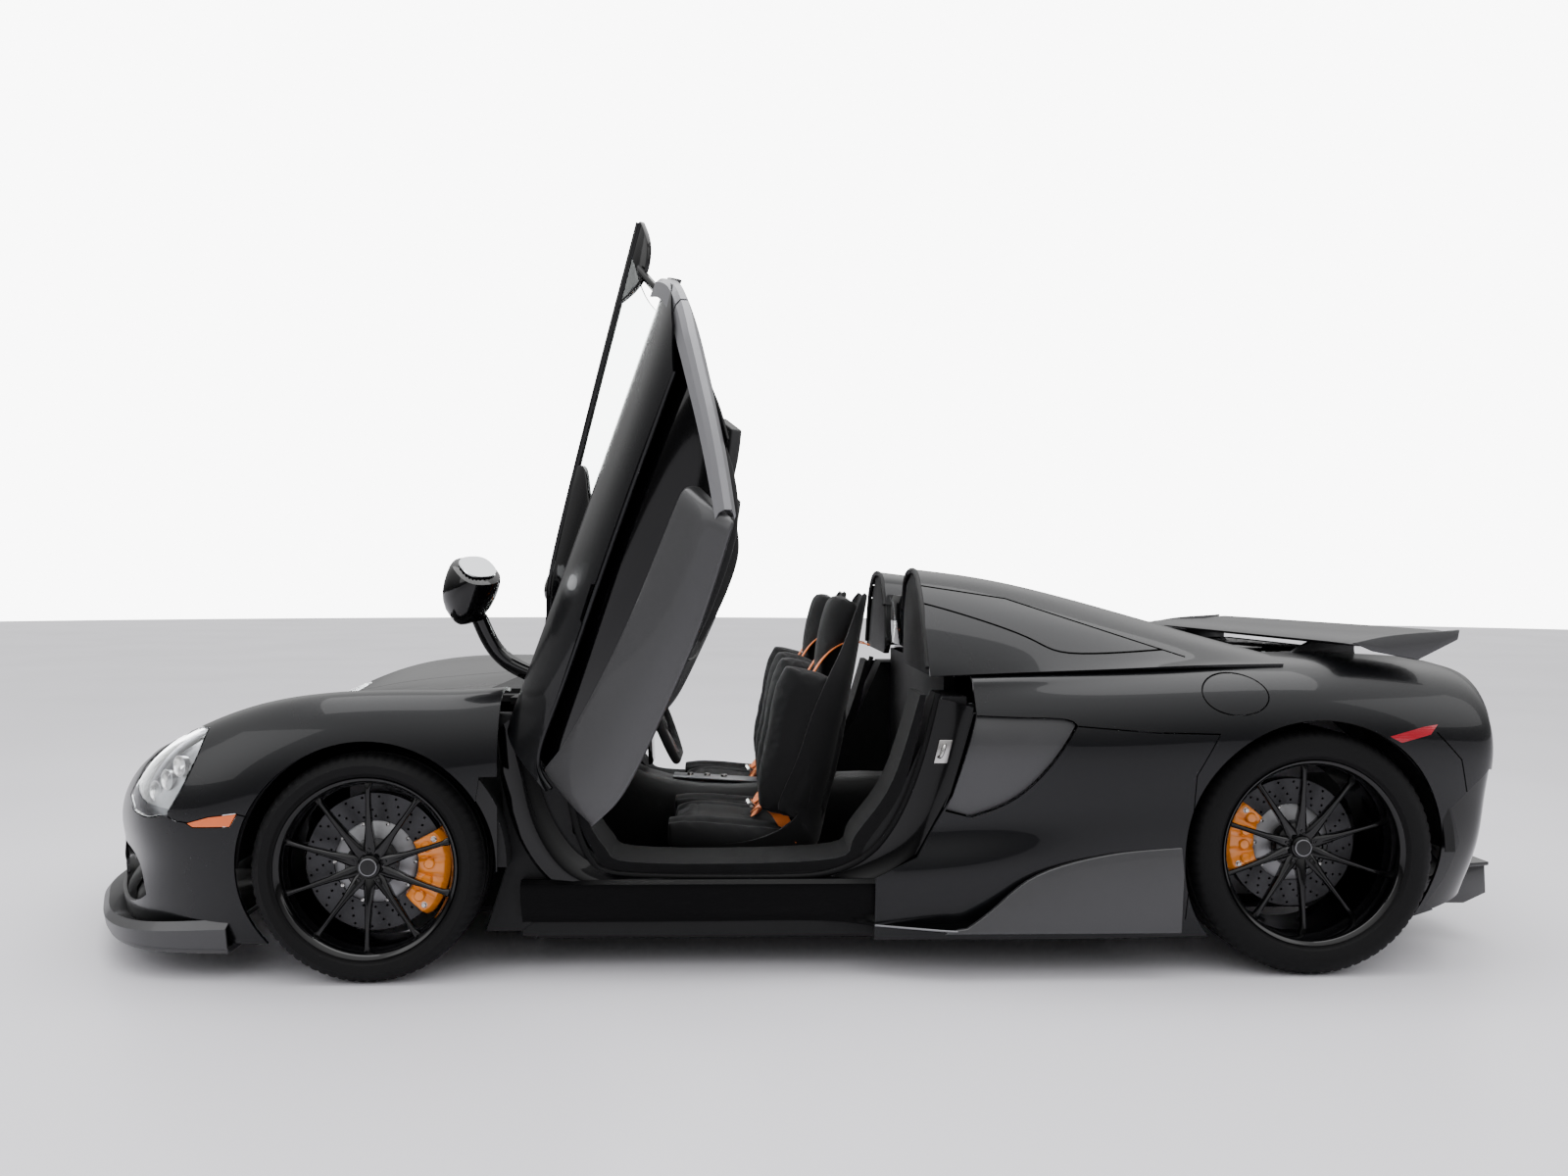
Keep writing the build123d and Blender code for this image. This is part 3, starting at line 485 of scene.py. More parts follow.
for tool in (prism("t", grown(LID, 0.002), 0.5, 1, "z"), prism("t", grown(LAMP, 0.002), 0.36, 1),
             prism("t", grown(AMBER_OUT, 0.0015), 0.6, 1),
             drum("t", FRONT_AXLE, FRONT_R, FRONT_ARCH, 0.5, 1),
             prism("t", [(-1.215, -.1), (-.80, -.1), (-.80, .575), (-.905, .575), (-.945, .3),
                         (-1.215, .3)], 0.5, 1),
             groove([(-1.775, .465), (-1.740, .452), (-1.700, .448)], 0.6, 1),
             groove([(-1.558, .475), (-1.535, .470)], 0.6, 1),
             prism("t", [(-1.02, -.01), (-.80, -.01), (-.80, .735), (-.86, .742), (-.945, .742),
                         (-1.02, .60)], 0.6, 1, "z"),
             prism("t", curve([(-2.20, .165), (-2.05, .175), (-1.93, .19), (-1.860, .225)]) +
                   curve([(-1.860, .225), (-1.88, .290), (-1.930, .335), (-2.02, .335),
                          (-2.10, .30)])[1:],
                   0.34, 1)):
    cut(nose, tool)
nose = whole(nose, "front_body")
fit(nose, "car_body", PAINT, "body_paint", "front_bumper", "front_fenders")
fit(whole(lid, "front_bonnet"), "luggage_lid", PAINT, "body_paint", "front_lid")
for piece, twin, mat, slot in ((lamps, "lamp_lens_left", LENS, "lamp_lens"),
                               (amber, "amber_marker_left", AMBER, "lamp_lens"),
                               (flange, "arch_band_front_left", GLOSS, "gloss_black")):
    smooth(piece)
    fit_pair(piece, twin, mat, slot)

# ==== head lamps ================================================================================
# Behind each clear lens a dark moulded bowl follows the skin, set back thirty millimetres. It
# holds three plated reflectors, stepped outwards, and a bright blade of light.
def lathe(name, profile, n=128, centre=(0, 0, 0), angle=30):
    """A body of revolution about the Y direction through centre, from (radius, y) points."""
    verts, faces = [], []
    k = len(profile)
    for i in range(n):
        a = 2 * pi * i / n
        verts += [(centre[0] + r * cos(a), centre[1] + y, centre[2] + r * sin(a))
                  for r, y in profile]
    for i in range(n):
        m = (i + 1) % n
        faces += [(i * k + j, i * k + (j + 1) % k, m * k + (j + 1) % k, m * k + j)
                  for j in range(k)]
    return make(name, verts, faces, angle)


def tube(name, points, radius, n=12, flat=1.0, per=6, loop=False):
    """A swept tube through points; flat squeezes it across its second direction."""
    path = natural(points, per) if per > 1 else np.asarray(points, float)
    count = len(path)
    verts, faces = [], []
    side = None
    for i, p in enumerate(path):
        d = Vector(path[(i + 1) % count] - path[i - 1] if loop or 0 < i < count - 1
                   else (path[1] - path[0] if i == 0 else path[-1] - path[-2])).normalized()
        side = (d.orthogonal() if side is None else side - d * side.dot(d)).normalized()
        other = d.cross(side)
        for j in range(n):
            a = 2 * pi * j / n
            verts.append(Vector(p) + side * radius * cos(a) + other * radius * flat * sin(a))
    for i in range(count if loop else count - 1):
        m = (i + 1) % count
        faces += [(i * n + j, i * n + (j + 1) % n, m * n + (j + 1) % n, m * n + j)
                  for j in range(n)]
    if not loop:
        faces += [range(n - 1, -1, -1), range((count - 1) * n, count * n)]
    return make(name, verts, faces, 50)


def put(obj, where, *turns):
    """Turns a piece about its own origin, the last turn first, and moves it to its place."""
    move = Matrix.Translation(where)
    for angle, axis in turns:
        move = move @ Matrix.Rotation(angle, 4, axis)
    obj.data.transform(move)


GRAPHITE = material("satin_graphite", (0.052, 0.052, 0.054), rough=0.42, metal=0.7, coat=0.15,
                    vary=0.1, patch=2, grain="flake", scale=2200, bump=0.08)
STEEL = material("bright_steel", (0.45, 0.44, 0.43), rough=0.25, metal=1.0, vary=0.15, patch=10,
                 scale=400, bump=0.05, stretch=(1, 12, 1))
SATIN = material("satin_bright", (0.17, 0.17, 0.18), rough=0.38, metal=0.85, coat=0.2, vary=0.08,
                 grain="flake", scale=2400, bump=0.05)
bowl = cut(shell("lamp_bowl", front_grid - np.array([-.030, .030, .020]), 0.006),
           prism("t", grown(LAMP, 0.006), 0.36, 1), "INTERSECT")
paint(bowl, GRAPHITE)
blade = tube("b", [(-1.915, .700, .490), (-1.855, .775, .560), (-1.770, .815, .640),
                   (-1.700, .800, .684)], 0.007, 10)
lights = []
for x, y, z in ((-1.850, .780, .510), (-1.800, .818, .548), (-1.755, .840, .590)):
    cup = lathe("c", [(.004, -.012), (.022, -.004), (.027, .012), (.030, .012), (.026, -.008),
                      (.004, -.018)], 32)
    put(cup, (x, y, z), (radians(35), "Z"))
    lights.append(paint(cup, STEEL))
bowl = join("lamp_bowl", bowl, paint(blade, SATIN), *lights)
smooth(bowl)
fit_pair(bowl, "lamp_bowl_left", None, "black_trim", "headlights")

# ==== intake mouths =============================================================================
# Black moulded mesh behind each mouth of the bumper, set back and inwards from the skin so that
# the opening keeps a deep lip.
GRILLE = material("black_mesh", (0.02, 0.02, 0.021), rough=0.5, vary=0.2, grain="grille",
                  scale=110, bump=0.9, second=(0.002, 0.002, 0.002))
mouth = cut(shell("intake_mesh_front", front_grid - np.array([-.070, .060, 0]), 0.004),
            prism("t", [(-2.22, .13), (-1.80, .17), (-1.80, .34), (-1.95, .37), (-2.16, .34)], 0.3,
                  1), "INTERSECT")
smooth(mouth)
fit_pair(mouth, "intake_mesh_front_left", GRILLE, "black_trim")

# ==== rear skin, filler and rear corners ========================================================
# Quarters and bumper are one painted skin, cut for the doors, wheels, side intakes, deck, filler
# and red markers. The filler flap, with its bright rim, is on the left side only; a black panel
# closes each lower rear corner.
RED_LENS = material("red_lens", (0.28, 0.005, 0.015), rough=0.12, coat=0.4, vary=0.15, patch=9,
                    grain="grille", scale=160, bump=0.3, glow=0.05)
REAR = [
    at(.200, (.888, .105), (.915, .285), (.895, .420), (.928, .598), (.908, .728), (.867, .808),
       (.812, .834), (.500, .850), (0, .852)),
    at(.480, (.890, .105), (.925, .300), (.905, .440), (.930, .620), (.908, .745), (.868, .815),
       (.812, .842), (.500, .858), (0, .860)),
    at(.800, (.890, .105), (.938, .315), (.940, .470), (.950, .645), (.922, .765), (.872, .828),
       (.795, .862), (.500, .872), (0, .872)),
    at(1.140, (.890, .110), (.945, .330), (.955, .500), (.965, .660), (.938, .780), (.875, .848),
       (.770, .882), (.480, .888), (0, .888)),
    at(1.455, (.890, .115), (.940, .340), (.955, .510), (.967, .665), (.942, .785), (.872, .858),
       (.750, .890), (.470, .895), (0, .895)),
    at(1.750, (.862, .150), (.915, .350), (.932, .510), (.948, .650), (.928, .765), (.862, .842),
       (.740, .882), (.460, .892), (0, .892)),
    [(1.950, .800, .200), (1.955, .868, .360), (1.965, .885, .500), (1.965, .905, .620),
     (1.960, .895, .730), (1.945, .842, .815), (1.930, .715, .868), (1.930, .440, .882),
     (1.930, 0, .882)],
    [(2.000, .700, .240), (2.005, .785, .370), (2.010, .805, .495), (2.015, .835, .600),
     (2.010, .840, .700), (1.995, .805, .792), (1.985, .690, .852), (1.985, .430, .870),
     (1.985, 0, .870)],
    [(2.050, .600, .270), (2.060, .690, .380), (2.062, .715, .490), (2.068, .745, .590),
     (2.065, .765, .690), (2.050, .748, .775), (2.040, .660, .840), (2.040, .420, .862),
     (2.040, 0, .864)],
]
rear_grid = net(REAR, 14, 9)


def oval(more):
    """The filler's outline, larger by a distance."""
    return [(cap_centre.x + (cap_a + more) * cos(2 * pi * i / 64),
             cap_centre.y + (cap_b + more) * sin(2 * pi * i / 64)) for i in range(64)]


REAR_EDGE = [(.484, .90), (.484, .806), (.486, .748), (.418, .516), (.318, .340), (.200, .285),
             (.05, .27)]
INTAKE = curve([(.486, .744), (.62, .740), (.735, .736), (.768, .716)]) + \
    curve([(.768, .716), (.705, .620), (.600, .510),
           (.470, .452)])[1:] + [(.398, .470), (.418, .516)]
CRAWL = [(.768, .716), (.98, .700), (1.165, .697)]
tail = shell("rear_body", rear_grid, SKIN)
RED_OUT = [(1.655, .690), (1.760, .716), (1.805, .722), (1.780, .694), (1.690, .672)]
marker = cut(copy(tail, "red_marker"), prism("t", RED_OUT, 0.7, 1.2), "INTERSECT")
cap_centre, cap_a, cap_b = Vector((1.222, .806)), .094, .058
filler_hole = prism("t", oval(.001), .6, 1.1)
cap = cut(copy(tail, "filler_cap"), prism("t", oval(-.003), .6, 1.1), "INTERSECT")
cap_rim = cut(shell("filler_rim", rear_grid, -0.0025), prism("t", oval(.004), .6, 1.1),
              "INTERSECT")
cut(cap_rim, prism("t", oval(-.001), .6, 1.1))
band = cut(shell("arch_band_rear", rear_grid, -0.003),
           ring("t", REAR_AXLE, REAR_R, REAR_ARCH, REAR_R + .060, 0.7, 1.1, 12, 158), "INTERSECT")
tools = [prism("t", REAR_EDGE + [(.05, -.1), (-.1, -.1), (-.1, 1.2), (.484, 1.2)], 0.70, 1.1),
         prism("t", [(-.1, -.01), (.36, -.01), (.36, .80), (.484, .80), (.484, .56), (2.02, .54),
                     (2.14, .40), (2.14, -.01)], 0.75, 1.0, "z"),
         prism("t", [(.1, -.1), (.1, .80), (.36, .80), (.36, -.1)], -.1, .84),
         drum("t", REAR_AXLE, REAR_R, REAR_ARCH, 0.5, 1.1),
         prism("t", INTAKE, .6, 1.1), filler_hole,
         groove([(1.165, .697), (1.10, .580), (1.09, .40), (1.09, .16)], .6, 1.1, width=.003),
         groove([(1.80, .700), (1.88, .62), (1.93, .45), (1.96, .30)], .6, 1.1),
         groove(CRAWL, .6, 1.1, width=.004),
         prism("t", RED_OUT, .7, 1.1)]
CORNER = [(1.862, .478), (1.925, .535), (1.985, .585), (2.10, .560), (2.10, .14), (1.880, .150),
          (1.822, .190), (1.868, .270), (1.898, .377)]
corner_panel = cut(copy(tail, "rear_corner"), prism("t", CORNER, .5, 1.1), "INTERSECT")
corner_panel.data.transform(Matrix.Translation((-.004, -.006, 0)))
smooth(corner_panel)
cut(tail, prism("t", grown(CORNER, .002), .5, 1.1))
cap_left = mirror(cap, "filler_cap_left")
tail_left = copy(tail, "tail_left")
for tool in tools:
    cut(tail_left, tool, keep=True)
    if tool is filler_hole:
        bpy.data.objects.remove(tool)
    else:
        cut(tail, tool)
for side in (tail, tail_left):
    smooth(side)
flip = mirror(tail_left, "flip")
bpy.data.objects.remove(tail_left)
tail = join("rear_body", tail, flip)
bm = bmesh.new()
bm.from_mesh(tail.data)
bmesh.ops.delete(bm, geom=[f for f in bm.faces if all(abs(v.co.y) < WELD for v in f.verts)],
                 context="FACES")
bmesh.ops.remove_doubles(bm, verts=[v for v in bm.verts if abs(v.co.y) < 1.5 * WELD],
                         dist=WELD)
bm.to_mesh(tail.data)
bm.free()
smooth(tail)
fit(tail, "car_body", PAINT, "body_paint", "rear_quarters", "rear_bumper")
smooth(cap_left)
fit(cap_left, "filler_flap", PAINT, "body_paint", "fuel_flap")
rim_left = mirror(cap_rim, "filler_rim_left")
bpy.data.objects.remove(cap)
bpy.data.objects.remove(cap_rim)
fit(rim_left, "filler_flap", SATIN, "steel")
for piece, twin, mat, slot in ((marker, "red_marker_left", RED_LENS, "red_lens"),
                               (band, "arch_band_rear_left", GLOSS, "gloss_black"),
                               (corner_panel, "rear_corner_left", GLOSS, "gloss_black")):
    smooth(piece)
    fit_pair(piece, twin, mat, slot)

# ==== side intakes ==============================================================================
# A satin graphite blade lies in the opening behind each door, fourteen millimetres inside the
# skin, and turns the air into the engine bay.
intake = cut(shell("intake_blade", rear_grid - np.array([0, .014, 0]), 0.008),
             prism("t", grown(INTAKE, -.004), .6, 1.1), "INTERSECT")
smooth(intake)
fit_pair(intake, "intake_blade_left", GRAPHITE, "satin_graphite", "side_intakes")

# ==== rear face =================================================================================
# A bowed panel of black mesh closes the tail between the quarters. One thin red lamp runs across
# it, and a painted valance is fixed below.
FACE = []
for z, back in ((.262, .010), (.34, .035), (.48, .045), (.62, .035), (.74, .012), (.856, -.022)):
    FACE.append([(2.130 + back - .16 * t * t, .76 * t, z) for t in (0, .25, .5, .75, .92)])
face = whole(shell("rear_face", net(FACE, 6, 6), -.006), "rear_face")
fit(face, "car_body", GRILLE, "black_trim")
bar = whole(tube("b", [(2.150, 0, .715), (2.145, .25, .715), (2.105, .50, .712),
                       (2.050, .70, .706)], .009, 12, .7), "tail_light_line")
fit(bar, "car_body", RED_LENS, "red_lens", "tail_lights")
VAL = []
for z, back in ((.180, .0), (.215, .020), (.262, .030), (.300, .020), (.312, .0)):
    VAL.append([(2.120 + back - .18 * t * t, .78 * t, z) for t in (0, .25, .5, .75, .95)])
val = whole(shell("rear_valance", net(VAL, 5, 6), -.008), "rear_valance")
fit(val, "car_body", PAINT, "body_paint")

# ==== wheels, brakes and uprights ===============================================================
# Forged wheels with ten thin spokes, a bolted hub and a cap; rubber tyres with grooves and sipes;
# drilled iron discs on cast bells, their iron set darker as painted shade behind the spokes, with
# orange calipers on cast uprights. Each corner is built on its axle, placed on the right and
# mirrored to the left.
def bevel(obj, width, segments=2, angle=35):
    """Rounds the edges sharper than angle."""
    apply(obj, "BEVEL", width=width, segments=segments, limit_method="ANGLE",
          angle_limit=radians(angle), use_clamp_overlap=True)
    smooth(obj, angle)
    return obj


TYRE = material("tyre_rubber", (0.004, 0.004, 0.0043), rough=0.62, vary=0.2, patch=6, scale=700,
                bump=0.2, shine=0.12)
ALLOY = material("black_alloy", (0.0012, 0.0012, 0.0015), rough=0.12, metal=0.2, coat=0.3,
                 vary=0.1, patch=4, scale=500, bump=0.01, shine=0.2)
# Painted shade: the discs' iron is set darker than bright iron, for the shade behind the spokes.
SHADED_IRON = material("brake_iron_painted_shade", (0.05, 0.05, 0.053), rough=0.42, metal=0.9, vary=0.2, patch=14,
                scale=220, bump=0.15)
CALIPER = material("orange_caliper", (0.85, 0.24, 0.012), rough=0.32, coat=0.6, vary=0.08, patch=8,
                   scale=300)
CAST = material("cast_alloy", (0.28, 0.28, 0.29), rough=0.45, metal=0.9, vary=0.2, patch=8,
                scale=260, bump=0.3)


def tread(name, radius, rim, half):
    """A tyre: rounded sidewalls with a rim guard, and grooves and shoulder sipes in the tread."""
    side = [(rim - .001, half - .022), (rim + .004, half - .012), (rim + .012, half - .009),
            (rim + .018, half - .002), (rim + .026, half),
            ((radius + rim) / 2 + .004, half + .003), (radius - .022, half - .004),
            (radius - .012, half - .011), (radius - .005, half - .022),
            (radius - .0015, half - .036)]
    top = []
    for c in (half * .60, half * .22):
        top += [(radius, c + .0065), (radius - .007, c + .0045), (radius - .007, c - .0045),
                (radius, c - .0065)]
    right = side + top
    profile = right + [(r, -y) for r, y in reversed(right)]
    steps, sipe = 288, .0035
    obj = lathe(name, profile, steps, angle=28)
    k = len(profile)
    for i in range(0, steps, 4):
        for j in (7, 8, 9, 10):
            for jj in (j, k - 1 - j):
                v = obj.data.vertices[i * k + jj].co
                v -= Vector((v.x, 0, v.z)).normalized() * sipe
    return obj


def rim_set(rim, half, face):
    """Barrel, lip, ten spokes, hub, bolts and cap of one wheel about the Y axis, outer side +Y."""
    barrel = lathe("barrel", [(rim + .009, half - .012), (rim + .004, half - .006),
                              (rim - .004, half - .010), (rim - .010, half - .020),
                              (rim - .016, face - .004), (rim - .020, 0),
                              (rim - .014, -half + .03), (rim + .009, -half + .012),
                              (rim + .009, -half + .018), (rim - .004, -half + .034),
                              (rim - .010, 0), (rim - .006, half - .030),
                              (rim + .002, half - .024)], 160, angle=40)
    verts, faces = [], []
    stages = [(.034, .0190, face - .018, .030), (.062, .0150, face - .012, .030),
              (.110, .0092, face - .005, .026), (rim * .72, .0070, face + .001, .020),
              (rim - .030, .0075, face + .004, .018), (rim - .010, .0130, face + .001, .020)]
    for s in range(10):
        turn = 2 * pi * s / 10 + pi / 10
        base = len(verts)
        for r, w, y, d in stages:
            for across, out in ((-w, -.004), (-w * .45, .0015), (0, 0), (w * .45, .0015),
                                (w, -.004), (w * .8, -d), (-w * .8, -d)):
                x, z = r * cos(turn) - across * sin(turn), r * sin(turn) + across * cos(turn)
                verts.append((x, y + out, z))
        for i in range(len(stages) - 1):
            for j in range(7):
                a, b = base + i * 7 + j, base + i * 7 + (j + 1) % 7
                faces.append((a, b, b + 7, a + 7))
        faces += [range(base, base + 7), range(base + len(stages) * 7 - 1,
                                               base + len(stages) * 7 - 8, -1)]
    spokes = make("spokes", verts, faces, 40)
    bevel(spokes, .0012, 2, 30)
    hub = lathe("hub", [(.026, face - .010), (.031, face - .012), (.034, face - .018),
                        (.060, face - .020), (.070, face - .026), (.072, face - .060),
                        (.028, face - .060)], 64)
    for s in range(5):
        a = 2 * pi * s / 5 + pi / 2
        x, z = .047 * cos(a), .047 * sin(a)
        bolt = lathe("bolt", [(.0002, .004), (.004, .004), (.0045, .0), (.008, .0), (.0085, .002),
                              (.0095, .002), (.0095, -.012), (.0002, -.012)], 18,
                     (x, face - .016, z))
        hub = join("hub", hub, bolt)
    cap = lathe("cap", [(.0002, face - .004), (.022, face - .005), (.0255, face - .008),
                        (.0255, face - .03), (.0002, face - .03)], 48)
    band = lathe("band", [(.0215, face - .0035), (.0245, face - .0045), (.0240, face - .0070),
                          (.0215, face - .0070)], 48)
    return join("wheel", paint(barrel, ALLOY), paint(spokes, ALLOY), paint(hub, ALLOY),
                paint(cap, GLOSS), paint(band, SATIN))


def disc(radius, middle):
    """A drilled brake disc with its vanes and bell."""
    t = .016
    rotor = lathe("rotor", [(radius * .60, middle + t), (radius - .001, middle + t),
                            (radius, middle + t - .002), (radius, middle + .004),
                            (radius * .60, middle + .004)], 128)
    inner = lathe("rotor2", [(radius * .60, middle - .004), (radius, middle - .004),
                             (radius, middle - t), (radius * .60, middle - t)], 128)
    bits = []
    for row in range(4):
        for s in range(24):
            a = 2 * pi * (s + row * .27) / 24
            r = radius * (.66 + .095 * row)
            bits.append(prism("t", [(r * cos(a) + .0038 * cos(b), r * sin(a) + .0038 * sin(b))
                                    for b in (2 * pi * q / 10 for q in range(10))], middle + .002,
                              middle + t + .004))
    cut(rotor, join("t", *bits))
    smooth(rotor)
    bell = lathe("bell", [(radius * .62, middle - t + .002), (radius * .62, middle + .010),
                          (radius * .52, middle + .022), (.040, middle + .026),
                          (.040, middle + .018), (radius * .50, middle + .012),
                          (radius * .56, middle - t + .002)], 64)
    pins = []
    for s in range(10):
        a = 2 * pi * s / 10
        pins.append(lathe("pin", [(.0002, .005), (.005, .004), (.005, -.004), (.0002, -.004)], 12,
                          (radius * .575 * cos(a), middle + .018, radius * .575 * sin(a))))
    return join("disc", paint(rotor, SHADED_IRON), paint(inner, SHADED_IRON), paint(bell, CAST),
                *[paint(p, STEEL) for p in pins])


def caliper(radius, middle, turn, size):
    """A fixed caliper over the disc's edge, with ribs, pots, screws and pads."""
    span = radians(size)
    verts, faces = [], []
    out = [(radius * .62, .022), (radius * .66, .046), (radius * .78, .052), (radius + .006, .050),
           (radius + .022, .036), (radius + .024, 0), (radius + .022, -.036),
           (radius + .006, -.046), (radius * .66, -.044), (radius * .62, -.022),
           (radius * .68, -.021), (radius + .006, -.021), (radius + .006, .021),
           (radius * .68, .021)]
    steps = 20
    for i in range(steps + 1):
        a = turn - span / 2 + span * i / steps
        edge = min(i, steps - i)
        tuck = (.010, .003, 0)[min(edge, 2)]
        for k, (r, y) in enumerate(out):
            rr = r - tuck if k in (3, 4, 5, 6, 7) and edge < 2 else r
            yy = y - (.007 if i % 5 == 4 and edge > 2 and k in (1, 2, 3) else 0)
            verts.append((rr * cos(a), middle + yy, rr * sin(a)))
    n = len(out)
    for i in range(steps):
        faces += [(i * n + k, i * n + (k + 1) % n, (i + 1) * n + (k + 1) % n, (i + 1) * n + k)
                  for k in range(n)]
    faces += [range(n), range((steps + 1) * n - 1, steps * n - 1, -1)]
    body = make("caliper", verts, faces, 40)
    bevel(body, .0025, 3, 35)
    parts = [paint(body, CALIPER)]
    for k in (-.36, -.12, .12, .36):
        a = turn + span * k
        parts.append(paint(lathe("pot", [(.0002, .008), (.012, .007), (.016, .003), (.017, -.006),
                                         (.0002, -.006)], 28,
                                 (radius * .82 * cos(a), middle + .050,
                                  radius * .82 * sin(a))), CALIPER))
    for k in (-.42, .42):
        a = turn + span * k
        parts.append(paint(lathe("screw", [(.0002, .008), (.0055, .008), (.006, .002),
                                           (.0085, .001), (.0085, -.012), (.0002, -.012)], 14,
                                 (radius * .95 * cos(a), middle + .050,
                                  radius * .95 * sin(a))), STEEL))
    pads = ring("pads", 0, 0, radius * .66, radius + .002, middle + .017, middle + .030,
                degrees(turn) - size * .33, degrees(turn) + size * .33, n=16)
    parts.append(paint(pads, CAST))
    return join("caliper", *parts)


corners = (("front", FRONT_AXLE, .840, FRONT_R, .247, .114, .070, .195, -.005, radians(-8), 72),
           ("rear", REAR_AXLE, .800, REAR_R, .260, .144, .055, .190, -.030, radians(172), 62))
for end, x, y, radius, rim, half, face, disc_r, middle, turn, size in corners:
    place = Matrix.Translation((x, y, radius))
    rubber = paint(tread(f"{end}_right_tread", radius, rim, half), TYRE)
    alloy = rim_set(rim, half, face + .018)
    rotor = disc(disc_r, middle)
    grip = caliper(disc_r, middle, turn, size)
    carrier = lathe("carrier", [(.027, face - .01), (.027, middle + .02), (.060, middle + .012),
                                (.075, middle - .04), (.040, middle - .075),
                                (.0002, middle - .075), (.0002, face - .01)], 48)
    arm = prism("arm", [(-.022, -.150), (.022, -.150), (.05, -.06), (.05, .06), (.022, .150),
                        (-.022, .150), (-.05, .06), (-.05, -.06)], middle - .062, middle - .030)
    bevel(arm, .006, 2)
    lug = ring("lug", 0, 0, .06, disc_r * .9, middle - .050, middle - .030, degrees(turn) - 20,
               degrees(turn) + 20, n=8)
    grip = join(f"{end}_right_caliper", grip, paint(carrier, CAST), paint(arm, CAST),
                paint(lug, CAST))
    hoop = join(f"{end}_right_alloy", alloy, rotor)
    for piece in (rubber, hoop, grip):
        piece.data.transform(place)
    for label in ("left", "right"):
        own = (rubber, hoop, grip)
        if label == "left":
            own = [mirror(p, p.name.replace("right", "left")) for p in own]
        wheel_body = f"{end}_{label}_road_wheel"
        fit(own[0], wheel_body, None, "tyre_rubber", f"{end}_{label}_tyre")
        fit(own[1], wheel_body, None, "black_alloy", f"{end}_{label}_wheel")
        if end == "front":
            fit(own[2], f"{label}_steering", None, "cast_alloy", f"front_{label}_upright")
        else:
            fit(own[2], "car_body", None, "cast_alloy",
                *(["rear_uprights"] if label == "right" else []))

# ==== door skins ================================================================================
# Modelled shut on the right: a painted upper skin over a recessed gloss black channel, and a
# graphite lower panel with a turned-under foot and closed ends.
SIDE = [
    FRONT[-1][:7],
    at(-.42, (.890, .105), (.918, .265), (.905, .405), (.930, .560), (.912, .705), (.862, .795),
       (.800, .818)),
    at(.05, (.890, .105), (.918, .275), (.892, .410), (.928, .585), (.908, .720), (.866, .805),
       (.812, .828)),
    at(.48, (.890, .105), (.925, .300), (.905, .440), (.930, .620), (.908, .745), (.868, .815),
       (.812, .842)),
]
side_grid = net(SIDE, 22, 9)


def solid(name, rows, angle=60):
    """A closed form through rows of ring points."""
    g = np.array(rows)
    a, b = g.shape[:2]
    faces = [(i * b + j, i * b + (j + 1) % b, (i + 1) * b + (j + 1) % b, (i + 1) * b + j)
             for i in range(a - 1) for j in range(b)]
    faces += [range(b - 1, -1, -1), range((a - 1) * b, a * b)]
    return make(name, g.reshape(-1, 3), faces, angle)


TENDON = curve([(-.852, .470), (-.800, .548), (-.600, .566), (-.250, .590), (.080, .603),
                (.310, .606)]) + \
    [(.400, .668), (.4780, .748), (.478, .805), (.470, .90), (-.852, .90)]
door_outer = shell("right_door_outer", side_grid, 0.009)
skin_panel = cut(copy(door_outer, "right_door_upper"), prism("t", TENDON, .6, 1.1), "INTERSECT")
cut(skin_panel, prism("t", [(-.395, .575), (-.385, .592), (-.285, .601), (-.275, .588)], .85, 1.1))
smooth(skin_panel)
rim_line = [(x, y, z) for x, y, z in ((-.845, .925, .470), (-.80, .937, .548), (-.60, .934, .566),
                                      (-.25, .929, .590), (.08, .929, .603), (.31, .932, .606))]
lip = tube("right_door_lip", rim_line, .006, 10, per=8)
channel_grid = side_grid[:, 18:46] - np.array([0, .034, 0])
channel = cut(shell("right_door_channel", channel_grid, .006),
              prism("t", [(-.845, .30), (.130, .30), (.165, .345), (.285, .480), (.420, .655),
                          (.462, .730), (.462, .78), (-.845, .70)], .6, 1.1), "INTERSECT")
smooth(channel)
foot = []
for x, k, rise, drop in ((-.827, .0, .100, .085), (-.815, .75, .092, .070), (-.760, 1, .070, .045),
                         (-.640, 1, .040, .012), (-.400, 1, .010, 0), (-.200, 1, 0, 0),
                         (-.020, 1, 0, .018), (.060, 1, 0, .030), (.092, .75, -.004, .036),
                         (.100, .1, -.020, .050)):
    swell = .026 * k
    top, low = .434 + rise, .212 + drop
    foot.append([(x, .893, top), (x, .902 + swell * .6, top + .001), (x, .909 + swell, top - .008),
                 (x, .914 + swell, top - .032), (x, .916 + swell, (top + low) / 2),
                 (x, .910 + swell, low + .050), (x, .908 + swell * .7, low + .014),
                 (x, .914 + swell * .3, low), (x, .912, low + .002)])
lower = shell("right_door_lower", net(foot, 5, 5), .008)
ends = []
for row, step_x in ((0, .006), (-1, -.006)):
    loop = natural(foot[row], 5)
    ends.append(solid("end", [loop, loop + np.array([step_x, 0, 0])], 32))
lower = join("right_door_lower", paint(lower, GRAPHITE), *[paint(e, GRAPHITE) for e in ends])
smooth(lower, 40)

